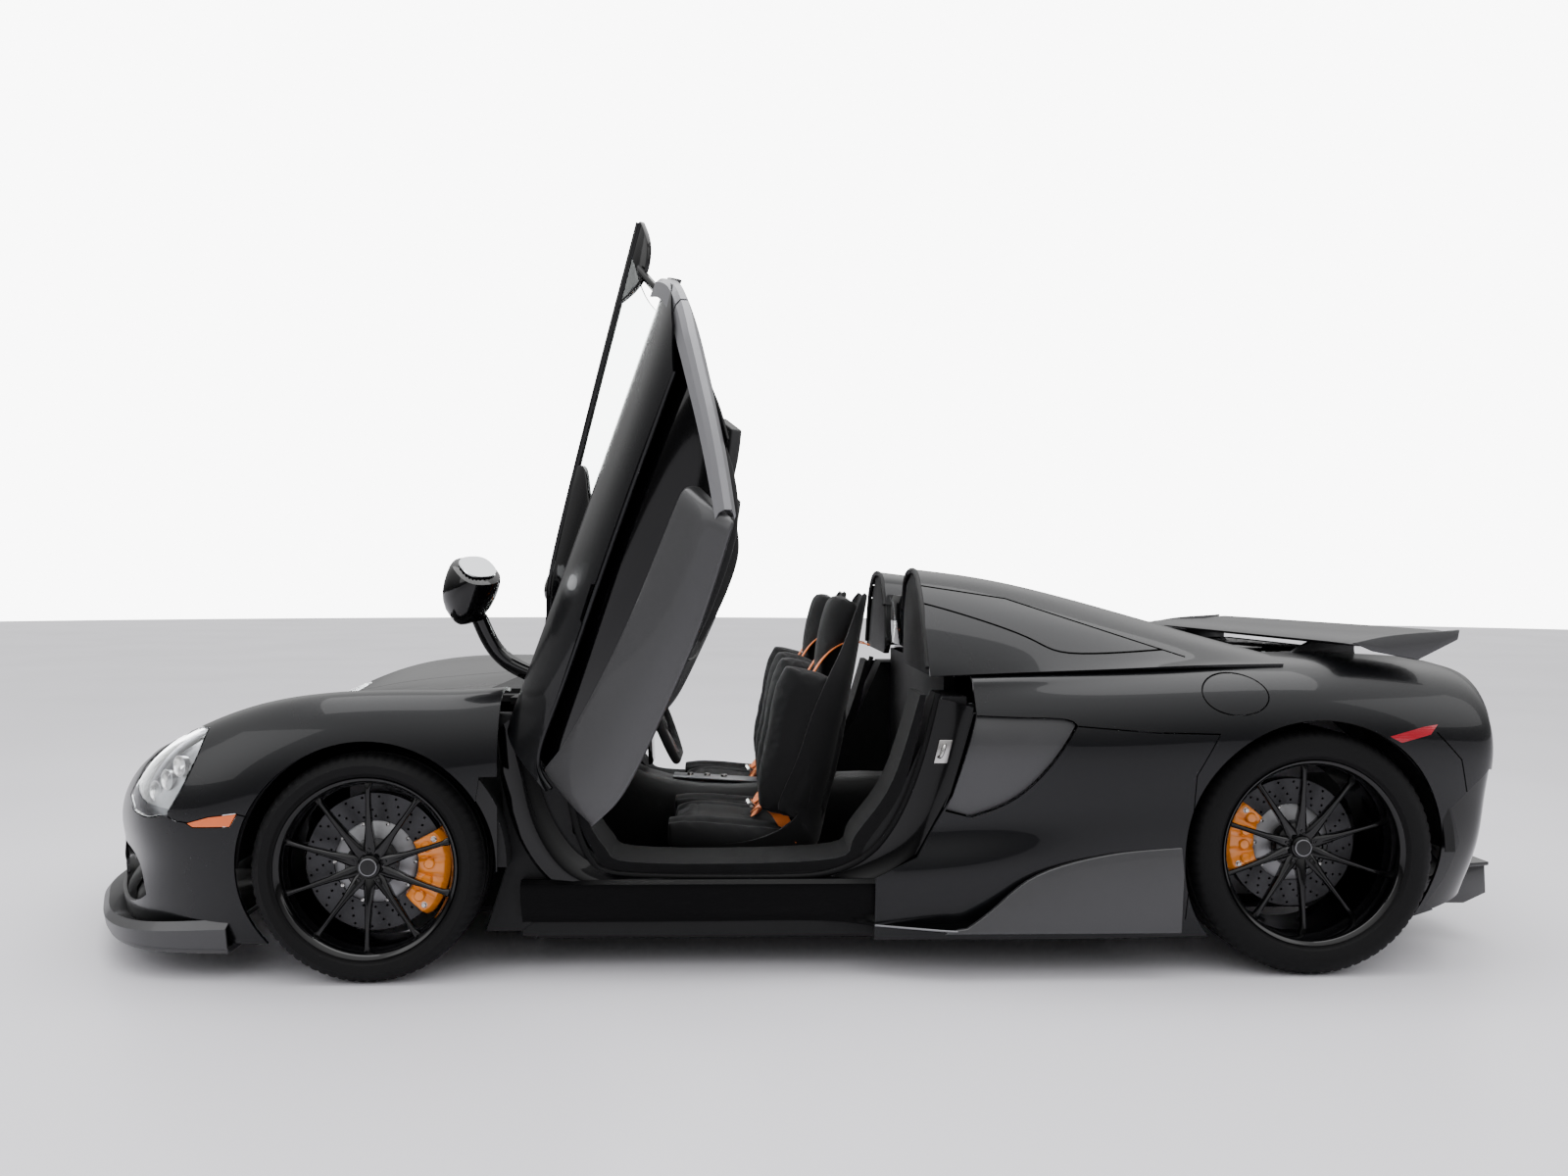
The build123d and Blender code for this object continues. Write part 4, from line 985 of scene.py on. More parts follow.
# ==== door edge and lining ======================================================================
# A satin flange turns in along the door's slanting rear edge. Inside are a suede lining with a
# leather rest, a pull and a speaker, a rubber seal, and the cast arm and strut of the hinge.
SUEDE = material("black_suede", (0.0055, 0.0055, 0.006), rough=0.85, vary=0.35, patch=9,
                 scale=1500, bump=0.35, sheen=0.06, shine=0.2)
LEATHER = material("black_leather", (0.009, 0.009, 0.0095), rough=0.45, vary=0.2, patch=6,
                   grain="pebble", scale=700, bump=0.3, sheen=0.03, shine=0.3)
jamb_line = natural([(x, 0, z) for x, z in [(.470, .815), (.478, .748), (.428, .655), (.358, .565),
                                            (.288, .480), (.222, .405), (.160, .340),
                                            (.110, .290)]], 8)
jamb_rows = []
for i, (x, _, z) in enumerate(jamb_line):
    t = i / (len(jamb_line) - 1)
    out, inn = .905 + .022 * min(1, t * 3), .874 + .006 * t
    jamb_rows.append([(x - .050 * (1 - t * .4), out + .001, z), (x - .012, out, z),
                      (x - .003, out - .006, z - .003), (x - .001, out - .024, z - .004),
                      (x - .007, out - .030, z - .004), (x - .007, inn + .01, z),
                      (x - .016, inn, z), (x - .05, inn - .004, z)])
jamb = shell("right_door_jamb", np.array(jamb_rows), .005)
cut(jamb, prism("t", [(.36, .690), (.56, .702), (.56, .706), (.36, .694)], .85, 1))
smooth(jamb)
trim_out = curve([(-.560, .372), (-.30, .338), (-.06, .345), (.070, .390), (.165, .490),
                  (.240, .640), (.285, .780)], 5) + \
    [(.270, .806), (-.640, .806), (-.640, .640)]
inner = prism("right_door_trim", trim_out, .762, .842)
bevel(inner, .022, 4, 30)
rest = prism("rest",
             curve([(-.42, .520), (-.20, .535), (.12, .545), (.22, .590)], 4)
             + curve([(.22, .520), (.05, .470), (-.25, .455), (-.42, .470)], 4), .728, .765)
bevel(rest, .012, 3, 30)
pull = tube("pull", [(-.28, .735, .60), (-.18, .715, .63), (-.04, .715, .64), (.06, .735, .62)],
            .011, 12)
grilles = lathe("speaker", [(.0002, .0), (.062, .0), (.068, -.004), (.068, .010), (.0002, .010)],
                48, (-.50, .757, .43))
inner = join("right_door_trim", paint(inner, SUEDE), paint(rest, LEATHER), paint(pull, SATIN),
             paint(grilles, GRILLE))
seal = tube("right_door_seal", [(-.70, .850, .812), (-.30, .8505, .8135), (.10, .850, .8145),
                                (.38, .849, .815)], .006, 10)
hinge_arm = tube("right_door_arm", [(-.775, .800, .790), (-.76, .812, .700), (-.73, .815, .600),
                                    (-.70, .815, .500)], .020, 14, .6)
hinge_strut = tube("right_door_strut", [(-.765, .795, .760), (-.71, .792, .66), (-.64, .790, .56)],
                   .009, 12)
arms = join("right_door_arm", paint(hinge_arm, CAST), paint(hinge_strut, STEEL))

# ==== side glass ================================================================================
# A tinted pane stands upright in the door, with a gloss black rail along its top edge, a paddle
# and bridge at the rear end of the rail and a black sail panel at the front.
PANE_Y = .8385
pane_top = [(-.560, .809), (-.464, .868), (-.300, .910), (.060, .972), (.300, 1.010),
            (.470, 1.036)]
pane_line = natural([(x, 0, z) for x, z in pane_top], 8)
pane_rows = []
for x, _, z in pane_line:
    pane_rows.append([(min(x, .375), PANE_Y, .800),
                      (x if x < .3 else .3 + (x - .3) * .55, PANE_Y, .8 + (z - .8) * .5),
                      (x, PANE_Y, z)])
pane = shell("right_door_pane", net(pane_rows, 1, 5), .0045)
blade = tube("right_glass_edge", [(x, PANE_Y, z) for x, z in [(-.70, .740)] + pane_top
                                  + [(.546, 1.048)]], .0105, 12, per=8)
paddle = prism("paddle", curve([(.340, 1.012), (.395, .972), (.455, .962), (.515, .990),
                                (.552, 1.046)], 5) + [(.540, 1.055), (.44, 1.036)], .826, .842)
bridge = tube("bridge", [(.440, .838, .975), (.435, .850, .915), (.430, .860, .860),
                         (.428, .864, .818)], .021, 14, .45)
sail = prism("sail",
             curve([(-.760, .770), (-.600, .812), (-.464, .866), (-.300, .908), (-.110, .941)], 5)
             + curve([(-.110, .941), (-.098, .905), (-.140, .860), (-.190, .812)], 5)[1:]
             + [(-.20, .780)], .832, .846)
bevel(paddle, .002, 2)
bevel(sail, .003, 2)
blade = join("right_glass_edge", blade, paddle, bridge, sail)
smooth(blade)

# ==== door mirrors and the swing of the doors ===================================================
# A rounded gloss black head on a tall stalk, with its glass set in the rear face. The right door's
# pieces are then swung open about the inclined hinge and mirrored for the left door.
HINGE = Vector((-0.720, 0.700, 0.876))
HINGE_AXIS = Vector((0.332, -0.756, 0.564)).normalized()
DOOR_ANGLE = radians(73)


def opened(obj):
    """Swings a right door's piece from shut to open, in its mesh."""
    turn = (Matrix.Translation(HINGE) @ Matrix.Rotation(DOOR_ANGLE, 4, HINGE_AXIS)
            @ Matrix.Translation(-HINGE))
    obj.data.transform(turn)
    return obj


TRIM = material("grained_black", (0.006, 0.006, 0.0065), rough=0.55, vary=0.2, patch=4,
                grain="pebble", bump=0.25, shine=0.2)
GLASS = material("tinted_glass", (0.86, 0.9, 0.89), rough=0.02, vary=0.02, scale=20, bump=0.0,
                 clear=1.0)
MIRROR = material("mirror_glass", (0.8, 0.82, 0.84), rough=0.03, metal=1.0, vary=0.02, scale=30,
                  bump=0.0)


def bulge(value, power):
    """A sine or cosine raised to a power with its sign kept, for a squarer round."""
    return abs(value) ** power * (1 if value > 0 else -1)


HEAD_Y, HEAD_Z = .985, 1.020
head = []
for x, s, dz in ((-.655, .12, -.010), (-.645, .58, -.006), (-.610, .88, 0), (-.560, 1, 0),
                 (-.505, .97, 0), (-.487, .90, 0)):
    ringed = []
    for k in range(28):
        a = 2 * pi * k / 28
        c, d = cos(a), sin(a)
        ringed.append((x, HEAD_Y + .078 * s * bulge(c, .8),
                       HEAD_Z + dz + .082 * s * bulge(d, .75) - .020 * c))
    head.append(ringed)
head_obj = solid("right_mirror_head", head, 45)
apply(head_obj, "SUBSURF", levels=1)
smooth(head_obj, 45)
glass_face = solid("face", [[(x, HEAD_Y + (y - HEAD_Y) * a, HEAD_Z + (z - HEAD_Z) * b)
                             for _, y, z in head[-1]]
                            for x, a, b in ((-.4855, .80, .76), (-.4825, .78, .74))], 32)
stalk = tube("stalk", [(-.705, .838, .795), (-.722, .860, .870), (-.705, .898, .935),
                       (-.630, .950, .985)], .036, 16, .62)
mirror_all = join("right_mirror", paint(head_obj, GLOSS), paint(glass_face, MIRROR),
                  paint(stalk, GLOSS))
for piece, mat, slot, *nodes in ((skin_panel, PAINT, "body_paint", "door_skin"),
                                 (lip, PAINT, "body_paint"),
                                 (channel, GLOSS, "gloss_black"),
                                 (lower, None, "satin_graphite", "door_panel"),
                                 (jamb, SATIN, "satin_graphite"),
                                 (inner, None, "seat_cloth"),
                                 (seal, TRIM, "black_trim"),
                                 (arms, None, "cast_alloy"),
                                 (pane, GLASS, "clear_glass", "door_glass"),
                                 (blade, GLOSS, "gloss_black"),
                                 (mirror_all, None, "gloss_black", "door_mirror")):
    opened(piece)
    if mat:
        paint(piece, mat)
    twin = mirror(piece, piece.name.replace("right", "left"))
    fit(piece, "right_door", None, slot, *["right_" + node for node in nodes])
    fit(twin, "left_door", None, slot, *["left_" + node for node in nodes])
bpy.data.objects.remove(door_outer)

# ==== sills and side fins =======================================================================
# A black moulded sill runs under each door. Its gloss black is a darker copy with the reflection
# turned far down, painted shade for the shadow under the car. A graphite fin stands in front of
# the rear wheel on a plain web, and a thin bright satin tube along the sill's outer edge is a
# painted highlight.
# Painted shade: gloss black with its reflection turned far down, for the sill in the car's shadow.
SHADED_SILL_BLACK = material("sill_black_painted_shade", (0.001, 0.001, 0.0012), rough=0.32, vary=0.1, scale=400,
                      bump=0.02, shine=0.06)
SILL = []
for x, t in ((-.800, 0), (-.70, 1), (-.3, 1), (.05, 1), (.2, 1), (.42, 1), (.6, 1), (.95, 1),
             (1.06, .4)):
    u = max(0, min(1, (x - .05) / .35))
    SILL.append([(x, .840, .268), (x, .880, .272), (x, .895, .262), (x, .898, .243),
                 (x, .886 + .010 * u, .200), (x, .872 + .022 * u, .172 - .006 * u),
                 (x, .862 + .064 * u, .160 - .010 * u), (x, .858 + .097 * u, .154 - .008 * u),
                 (x, .856 + .099 * u, .146 - .010 * u), (x, .840 + .015 * u, .142 - .008 * u)])
sill = shell("right_sill", natural(SILL, 8), .005)
paint(sill, SHADED_SILL_BLACK)
fin = prism("fin", [(.390, .134), (.400, .143)]
            + curve([(.455, .150), (.540, .215), (.653, .300), (.830, .352), (.95, .368),
                     (1.063, .376)], 5)
            + [(1.070, .30), (1.063, .134)], .945, .962)
bevel(fin, .004, 3)
paint(fin, GRAPHITE)
web = prism("web", [(.56, .140), (.70, .27), (.88, .32), (1.05, .34), (1.05, .140)], .890, .946)
paint(bevel(web, .003, 2), TRIM)
# Painted highlight: a thin bright satin tube along the sill's outer edge.
line = tube("line", [(.20, .915, .149), (.38, .9555, .144), (.44, .9565, .142)], .003, 8)
sill = join("right_sill", sill, fin, web, paint(line, SATIN))
fit_pair(sill, "left_sill", None, "gloss_black", "side_skirts")

# ==== front blade ===============================================================================
# A flat graphite blade under the bumper, with a raised kerb that rises towards the wheels. The
# right half is welded to its mirror image.
LIP = curve([(-1.600, .912), (-1.79, .890), (-1.925, .820), (-2.045, .680), (-2.148, .490),
             (-2.245, .270), (-2.300, 0.0)], 6)
blade_low = prism("front_blade", LIP + [(-1.700, 0), (-1.700, .60), (-1.600, .72)], .078, .096,
                  "z")
edge_up = []
for k, (x, y) in enumerate(LIP):
    t = k / (len(LIP) - 1)
    w = .060 * (1 - t) ** .5 + .012
    edge_up.append([(x, y, .094), (x - .004, y + .004, .106 + .6 * w * (1 - t)),
                    (x + .004, y - .002, .118 + .7 * w * (1 - t)),
                    (x + .022, max(y - .03, 0), .112 + .5 * w * (1 - t)),
                    (x + .05, max(y - .07, 0), .100)])
kerb = shell("kerb", np.array(edge_up)[::-1], .006)
bevel(blade_low, .003, 2)
splitter = whole(join("front_blade", blade_low, kerb), "front_blade")
fit(splitter, "car_body", GRAPHITE, "satin_graphite", "front_splitter")

# ==== tonneau ===================================================================================
# Twin painted buttresses behind the seats with a gloss valley between them. Each has a padded
# front wall and edge; a small clear wind deflector stands across the middle.
HUMP = [
    [(.365, .838, .846), (.362, .812, .905), (.362, .735, 1.020), (.364, .655, 1.100),
     (.366, .560, 1.146), (.368, .430, 1.152), (.370, .320, 1.120), (.372, .262, 1.030),
     (.374, .245, .900)],
    at(.620, (.848, .856), (.815, .905), (.742, 1.000), (.660, 1.070), (.565, 1.112),
       (.440, 1.116), (.340, 1.085), (.285, 1.000), (.265, .900)),
    at(.900, (.858, .866), (.820, .900), (.752, .965), (.672, 1.015), (.578, 1.046), (.465, 1.046),
       (.375, 1.018), (.325, .955), (.305, .895)),
    at(1.150, (.860, .876), (.826, .892), (.762, .930), (.685, .960), (.592, .977), (.495, .973),
       (.420, .952), (.370, .920), (.350, .895)),
    at(1.400, (.850, .880), (.825, .885), (.765, .897), (.690, .905), (.600, .909), (.520, .907),
       (.460, .903), (.420, .898), (.400, .893)),
]
hump = shell("tonneau_right", net(HUMP, 14, 8), .008)
for tool in (groove(curve([(.34, 1.062), (.46, 1.030), (.66, .960), (.78, .915), (1.06, .925)], 6),
                    .5, 1.1, width=.005),
             groove([(.33, 1.115), (.62, 1.072), (1.06, .925), (1.12, .905)], .62, 1.1,
                    width=.004)):
    cut(hump, tool)
smooth(hump)
front_wall = prism("wall", [(.840, .846), (.812, .905), (.735, 1.018), (.655, 1.098),
                            (.560, 1.143), (.430, 1.149), (.322, 1.117), (.264, 1.030),
                            (.245, .880), (.30, .846)], .368, .392, "x")
bevel(front_wall, .006, 3)
screen_edge = tube("screen_edge", [(.362, .828, .872), (.360, .735, 1.021), (.360, .655, 1.102),
                                   (.362, .560, 1.150), (.364, .430, 1.156), (.366, .320, 1.124),
                                   (.368, .262, 1.034)], .009, 10)
hump = join("tonneau_right", paint(hump, PAINT), paint(front_wall, TRIM), paint(screen_edge, TRIM))
fit_pair(hump, "tonneau_left", None, "body_paint", "tonneau")
valley = []
for x, z, w in ((.380, .985, .262), (.60, .975, .285), (.85, .950, .318), (1.10, .915, .360),
                (1.30, .898, .400)):
    valley.append([(x, -w, z), (x, -w / 2, z + .012), (x, 0, z + .016), (x, w / 2, z + .012),
                   (x, w, z)])
top = net(valley, 6, 4)
a, b = top.shape[:2]
quads = [(i * b + j, (i + 1) * b + j, (i + 1) * b + j + 1, i * b + j + 1)
         for i in range(a - 1) for j in range(b - 1)]
valley = make("tonneau_valley", [*top.reshape(-1, 3),
                                 *(top - np.array([0, 0, .008])).reshape(-1, 3)],
              quads + [(p + a * b, s + a * b, r + a * b, q + a * b) for p, q, r, s in quads])
fit(valley, "car_body", GLOSS, "gloss_black")
wind = prism("wind_screen", [(-.25, .90), (-.25, 1.02), (-.21, 1.075), (.21, 1.075), (.25, 1.02),
                             (.25, .90)], .372, .378, "x")
fit(bevel(wind, .002, 2), "car_body", GLASS, "clear_glass")

# ==== engine deck ===============================================================================
# Seven gloss black slats stand over a flat cover, inside a rim of round bar. The engine's hot air
# leaves between them.
def in_a_row(piece, name, count, step, finish):
    """Copies of a piece along a line by Geometry Nodes, then made one plain mesh."""
    tree = bpy.data.node_groups.new(name, "GeometryNodeTree")
    key = {}
    for label, way, kind in (("Piece", "INPUT", "Geometry"), ("Count", "INPUT", "Int"),
                             ("Step", "INPUT", "Vector"), ("Finish", "INPUT", "Material"),
                             ("Row", "OUTPUT", "Geometry")):
        socket = tree.interface.new_socket(label, in_out=way, socket_type="NodeSocket" + kind)
        key[label] = socket.identifier
    given, line, copies, real, coat, made = [tree.nodes.new(kind) for kind in (
        "NodeGroupInput", "GeometryNodeMeshLine", "GeometryNodeInstanceOnPoints",
        "GeometryNodeRealizeInstances", "GeometryNodeSetMaterial", "NodeGroupOutput")]
    for start, output, end, entry in (
            (given, "Count", line, "Count"), (given, "Step", line, "Offset"),
            (line, "Mesh", copies, "Points"), (given, "Piece", copies, "Instance"),
            (copies, "Instances", real, "Geometry"), (real, "Geometry", coat, "Geometry"),
            (given, "Finish", coat, "Material"), (coat, "Geometry", made, "Row")):
        tree.links.new(start.outputs[output], end.inputs[entry])
    mod = paint(piece, finish).modifiers.new(name, "NODES")
    mod.node_group = tree
    mod[key["Count"]], mod[key["Step"]], mod[key["Finish"]] = count, step, finish
    whole_row = piece.evaluated_get(bpy.context.evaluated_depsgraph_get())
    row = link(name, bpy.data.meshes.new_from_object(whole_row))
    bpy.data.objects.remove(piece)
    return row


slat = prism("slat", [(1.340, .898), (1.386, .906), (1.386, .912), (1.340, .904)], -.34, .34)
slats = in_a_row(bevel(slat, .0015, 2), "slats", 7, (.055, 0.0, 0.0), GLOSS)
frame_deck = tube("rim", [(1.31, -.36, .902), (1.31, .36, .902), (1.75, .36, .905),
                          (1.75, -.36, .905)], .008, 10, per=1, loop=True)
deck = bevel(prism("deck", [(1.26, .872), (1.98, .862), (1.98, .870), (1.26, .880)], -.56, .56),
             .002, 2)
slats = join("deck_slats", slats, frame_deck, deck)
fit(slats, "car_body", GLOSS, "gloss_black", "engine_cover")

# ==== wing ======================================================================================
# A fixed graphite aerofoil across the tail, thinner at its tips, with an end plate on each side
# and two upright stays.
WING = []
SECTION = ((0, 0), (.03, .008), (.12, .016), (.3, .020), (.55, .016), (.8, .012), (.97, .016),
           (1, .014), (.97, .008), (.8, -.004), (.55, -.014), (.3, -.016), (.12, -.012),
           (.03, -.007))
for y, taper in ((0, 0), (.45, 0), (.76, .1), (.84, .5), (.862, 1)):
    lead, trail = 1.575 + .02 * taper, 1.908
    WING.append([(lead + (trail - lead) * t, y,
                  .950 + .022 * t ** 2 + out * (1 - .4 * taper) - .004 * taper)
                 for t, out in SECTION])
half_wing = solid("wing", WING)
end_plate = prism("plate",
                  curve([(1.60, .950), (1.72, .974), (1.86, .985), (1.918, .990)], 4)
                  + [(1.912, .960), (1.792, .900), (1.66, .925)], .855, .866)
stay = prism("stay",
             curve([(1.55, .880), (1.60, .915), (1.66, .945), (1.70, .955)], 4)
             + curve([(1.80, .955), (1.79, .915), (1.80, .880)], 4), .50, .516)
bevel(end_plate, .003, 2)
bevel(stay, .004, 2)
wing_all = join("rear_aerofoil", whole(half_wing, "rear_aerofoil"), end_plate,
                mirror(end_plate, "p"), stay, mirror(stay, "s"))
smooth(wing_all, 50)
fit(wing_all, "car_body", GRAPHITE, "satin_graphite", "rear_wing")

# ==== seats and belts ===========================================================================
# Bucket seats: a thin hard shell covered in suede on steel rails, with stuffed suede pads swollen
# by a cloth simulation, and a four-point harness of flat orange webbing with steel slides.
def strip(name, points, across, thick):
    """A flat band through points, across gives its width direction at each point."""
    verts, faces = [], []
    n = len(points)
    for i, (p, w) in enumerate(zip(points, across)):
        p, w = Vector(p), Vector(w)
        d = Vector(points[min(i + 1, n - 1)]) - Vector(points[max(i - 1, 0)])
        up = d.cross(w).normalized() * thick / 2
        verts += [p - w / 2 - up, p + w / 2 - up, p + w / 2 + up, p - w / 2 + up]
    for i in range(n - 1):
        faces += [(4 * i + j, 4 * i + (j + 1) % 4, 4 * i + 4 + (j + 1) % 4, 4 * i + 4 + j)
                  for j in range(4)]
    faces += [(3, 2, 1, 0), (4 * n - 4, 4 * n - 3, 4 * n - 2, 4 * n - 1)]
    return make(name, verts, faces, 50)


WEBBING = material("orange_webbing", (0.66, 0.14, 0.006), rough=0.6, vary=0.1, patch=20,
                   grain="weave", scale=500, bump=0.4, sheen=0.3)


def pad(name, centre, size, lean, crown, cap, bolster=0.0, taper=0.0):
    """A stuffed pad: a rounded slab, swollen by cloth simulation within a cap, then seamed."""
    rows = []
    w, l, t = size
    for i in range(9):
        s = i / 8
        pull = 1 - .10 * (2 * s - 1) ** 4 - taper * s
        ringed = []
        for k in range(20):
            a = 2 * pi * k / 20
            c, d = cos(a), sin(a)
            y = w / 2 * pull * bulge(c, .5)
            rise = t / 2 * bulge(d, .6) * (1 - .25 * (2 * s - 1) ** 4)
            rise += bolster * (abs(y) / (w / 2)) ** 3
            ringed.append((l * (s - .5), y, rise))
        rows.append(ringed)
    obj = solid(name, rows)
    put(obj, centre, (-lean, "Y"))
    apply(obj, "REMESH", mode="VOXEL", voxel_size=.008)
    start = [v.co.copy() for v in obj.data.vertices]
    frames = 12
    cloth = obj.modifiers.new("cloth", "CLOTH")
    cloth.settings.use_pressure = True
    cloth.settings.uniform_pressure_force = 4
    cloth.settings.effector_weights.gravity = 0
    cloth.point_cache.frame_start, cloth.point_cache.frame_end = 1, frames
    for f in range(1, frames + 1):
        bpy.context.scene.frame_set(f)
    shape = obj.evaluated_get(bpy.context.evaluated_depsgraph_get())
    moved = [v.co.copy() for v in shape.data.vertices]
    obj.modifiers.clear()
    for v, a, b in zip(obj.data.vertices, start, moved):
        d = b - a
        v.co = a + d * min(1, cap / max(d.length, 1e-6))
    bpy.context.scene.frame_set(1)
    across = Matrix.Rotation(-lean, 4, "Y")
    for v, a in zip(obj.data.vertices, start):
        q = across.inverted() @ (a - Vector(centre))
        near = min(abs((q.x + l * .5) % (l / crown) - l / crown / 2) if crown else 1, 1)
        side_seam = abs(abs(q.y) - w * .30)
        cross_seam = .006 * max(0, 1 - near / .008) * (abs(q.y) < w * .30)
        dip = cross_seam + .007 * max(0, 1 - side_seam / .009)
        if q.z > 0:
            v.co -= (across @ Vector((0, 0, 1))) * dip
    apply(obj, "SUBSURF", levels=1)
    obj.data.shade_smooth()
    return obj


def belt(points, forward):
    """Flat webbing along points, square to the direction it faces."""
    run = curve(points)
    across = []
    for before, after in zip(run[:1] + run, run[1:] + run[-1:]):
        along = (Vector(after) - Vector(before)).normalized()
        across.append(along.cross(Vector(forward)).normalized() * .046)
    return paint(strip("belt", run, across, .0032), WEBBING)


SEAT_Y = .370
shell_rows = []
for x, z, w, hook in ((-.335, .262, .215, .030), (-.20, .235, .235, .080),
                      (-.02, .218, .245, .125), (.090, .262, .250, .150), (.140, .380, .250, .150),
                      (.182, .520, .252, .130), (.222, .660, .255, .110), (.262, .790, .240, .085),
                      (.292, .890, .185, .055), (.318, .980, .135, .035),
                      (.338, 1.050, .115, .022), (.345, 1.078, .090, .010)):
    fx, fz = (-.25, .97) if x < .1 and z < .3 else (-.96, .27)
    row = []
    for t, h in ((-1, 1), (-.97, .72), (-.86, .32), (-.6, .08), (-.3, .0), (0, 0), (.3, .0),
                 (.6, .08), (.86, .32), (.97, .72), (1, 1)):
        row.append((x + fx * hook * h, SEAT_Y + w * t, z + fz * hook * h))
    shell_rows.append(row)
bucket = shell("right_bucket", net(shell_rows, 5, 4), .010)
sill_box = prism("b", [(-.30, .140), (.10, .140), (.12, .225), (-.02, .212), (-.20, .230),
                       (-.30, .250)], SEAT_Y - .19, SEAT_Y + .19)
rails = [tube("r", [(-.32, SEAT_Y + s * .17, .150), (.14, SEAT_Y + s * .17, .150)], .012, 10,
              per=1) for s in (-1, 1)]
bucket = join("right_bucket", paint(bucket, SUEDE), paint(bevel(sill_box, .006, 2), TRIM),
              *[paint(r, STEEL) for r in rails])
squab = pad("right_squab", (-.125, SEAT_Y, .292), (.400, .450, .105), radians(-6), 3, .012, .035)
back_low = pad("right_back_pad", (.122, SEAT_Y, .560), (.410, .500, .100), radians(-108), 4, .012,
               .045)
head_pad = pad("right_head_pad", (.240, SEAT_Y, .935), (.220, .270, .105), radians(-106), 2, .008,
               .018, .25)
wings = [pad(n, (.070, SEAT_Y + s * .198, .620), (.100, .460, .195), radians(-106), 0, .008)
         for n, s in (("right_wing_in", -1), ("right_wing_out", 1))]
thighs = [pad(n, (-.150, SEAT_Y + s * .196, .325), (.090, .400, .115), radians(-5), 0, .008)
          for n, s in (("right_thigh_in", -1), ("right_thigh_out", 1))]

belts = []
for s in (1, -1):
    belts.append(belt([(x, SEAT_Y + s * y, z) for x, y, z in (
        (.372, .085, .905), (.300, .085, .912), (.225, .090, .868), (.150, .105, .760),
        (.085, .118, .610), (.030, .112, .480), (-.015, .075, .390), (-.050, .025, .358))],
        (-.80, 0, .60)))
    belts.append(belt([(x, SEAT_Y + s * .225 * y, z) for x, y, z in (
        (.060, 1, .300), (.030, .95, .385), (-.010, .62, .405), (-.045, .22, .372))],
        (-.5, s * .2, .84)))
    slide = prism("slide", [(-.030, -.020), (.030, -.020), (.030, .020), (-.030, .020)], -.003,
                  .003)
    put(slide, (.062, SEAT_Y + s * .117, .565), (radians(-60), "Y"), (pi / 2, "X"))
    belts.append(paint(bevel(slide, .002, 2), STEEL))
buckle = lathe("buckle", [(.0002, .010), (.024, .009), (.030, .004), (.030, -.006),
                          (.0002, -.006)], 32)
put(buckle, (-.052, SEAT_Y, .370), (radians(55), "Y"), (pi / 2, "X"))
belts = join("right_belt", *belts, paint(buckle, STEEL))
belts.data.transform(Matrix.Translation((-.030, 0, .014)))
# The whole seat leans back a little; the shell stands for the seat of the frame.
lean_back = Matrix(((1, 0, -.10, -.020), (0, 1, 0, 0), (0, 0, 1, 0), (0, 0, 0, 1)))
pads = (squab, back_low, head_pad, *wings, *thighs)
for piece in (bucket, *pads, belts):
    piece.data.transform(lean_back)
    if piece in pads:
        paint(piece, SUEDE)
    twin = mirror(piece, piece.name.replace("right", "left"))
    for obj, side in ((piece, "right"), (twin, "left")):
        if piece is bucket:
            fit(obj, "car_body", None, "carbon_tub", f"{side}_seat")
        else:
            fit(obj, "car_body", None, "seat_cloth")
        piece in pads

# ==== dashboard =================================================================================
# A soft suede dashboard with a raised hood over the driver's dials, four round vents with satin
# rims, and an upright screen in the middle.
dash_rows = []
for y, k in ((-.638, 0), (-.60, 1), (-.50, 1), (-.37, 1.5), (-.24, 1), (-.10, 1), (.10, 1),
             (.30, .8), (.52, .8), (.60, .8), (.638, 0)):
    dash_rows.append([(-.765, y, .560), (-.765, y, .755), (-.700, y, .772 + .010 * k),
                      (-.610, y, .772 + .020 * k), (-.535 - .01 * k, y, .755 + .022 * k),
                      (-.500, y, .715), (-.520, y, .655), (-.560, y, .600), (-.640, y, .545),
                      (-.740, y, .540)])
dash = solid("dash_top", dash_rows, 70)
apply(dash, "SUBSURF", levels=2)
bits = []
for y in (-.575, .575, .10, -.10):
    ringv = lathe("vent", [(.030, .006), (.036, .006), (.038, 0), (.038, -.02), (.030, -.02)], 32)
    put(ringv, (-.512, y, .690), (-pi / 2, "Z"))
    bits.append(paint(ringv, SATIN))
screen = prism("screen", [(-.505, .470), (-.490, .475), (-.500, .655), (-.515, .650)], -.062, .062)
bits.append(paint(bevel(screen, .004, 3), GLOSS))
dials = prism("dials", [(-.560, .700), (-.545, .705), (-.575, .770), (-.590, .765)], -.47, -.27)
bits.append(paint(bevel(dials, .004, 3), GLOSS))
dash = join("dash_top", paint(dash, SUEDE), *bits)
fit(dash, "car_body", None, "seat_cloth", "dashboard")

# ==== centre console ============================================================================
# A leather console between the seats, low under the hand and higher at both ends. It carries a
# satin plate with three round keys, and a suede arm rest.
con_rows = []
for x, w, z in ((-.765, .070, .545), (-.66, .072, .545), (-.56, .074, .470), (-.46, .074, .425),
                (-.20, .074, .400), (.05, .074, .432), (.25, .074, .440), (.438, .074, .442)):
    con_rows.append([(x, -w, .140), (x, -w, z - .03), (x, -w * .8, z - .004), (x, 0, z),
                     (x, w * .8, z - .004), (x, w, z - .03), (x, w, .140)])
con = solid("console", con_rows, 50)
apply(con, "SUBSURF", levels=1)
plate = prism("plate", [(-.42, .422), (-.12, .404), (-.12, .412), (-.42, .430)], -.045, .045)
keys = [lathe("key", [(.0002, .008), (.010, .007), (.012, 0), (.0002, 0)], 20) for _ in range(3)]
for k, key in enumerate(keys):
    put(key, (-.36 + .06 * k, 0, .428 - .0035 * k), (pi / 2, "X"))
arm_rest = prism("rest", [(-.02, .430), (.16, .437), (.16, .462), (.0, .455)], -.055, .055)
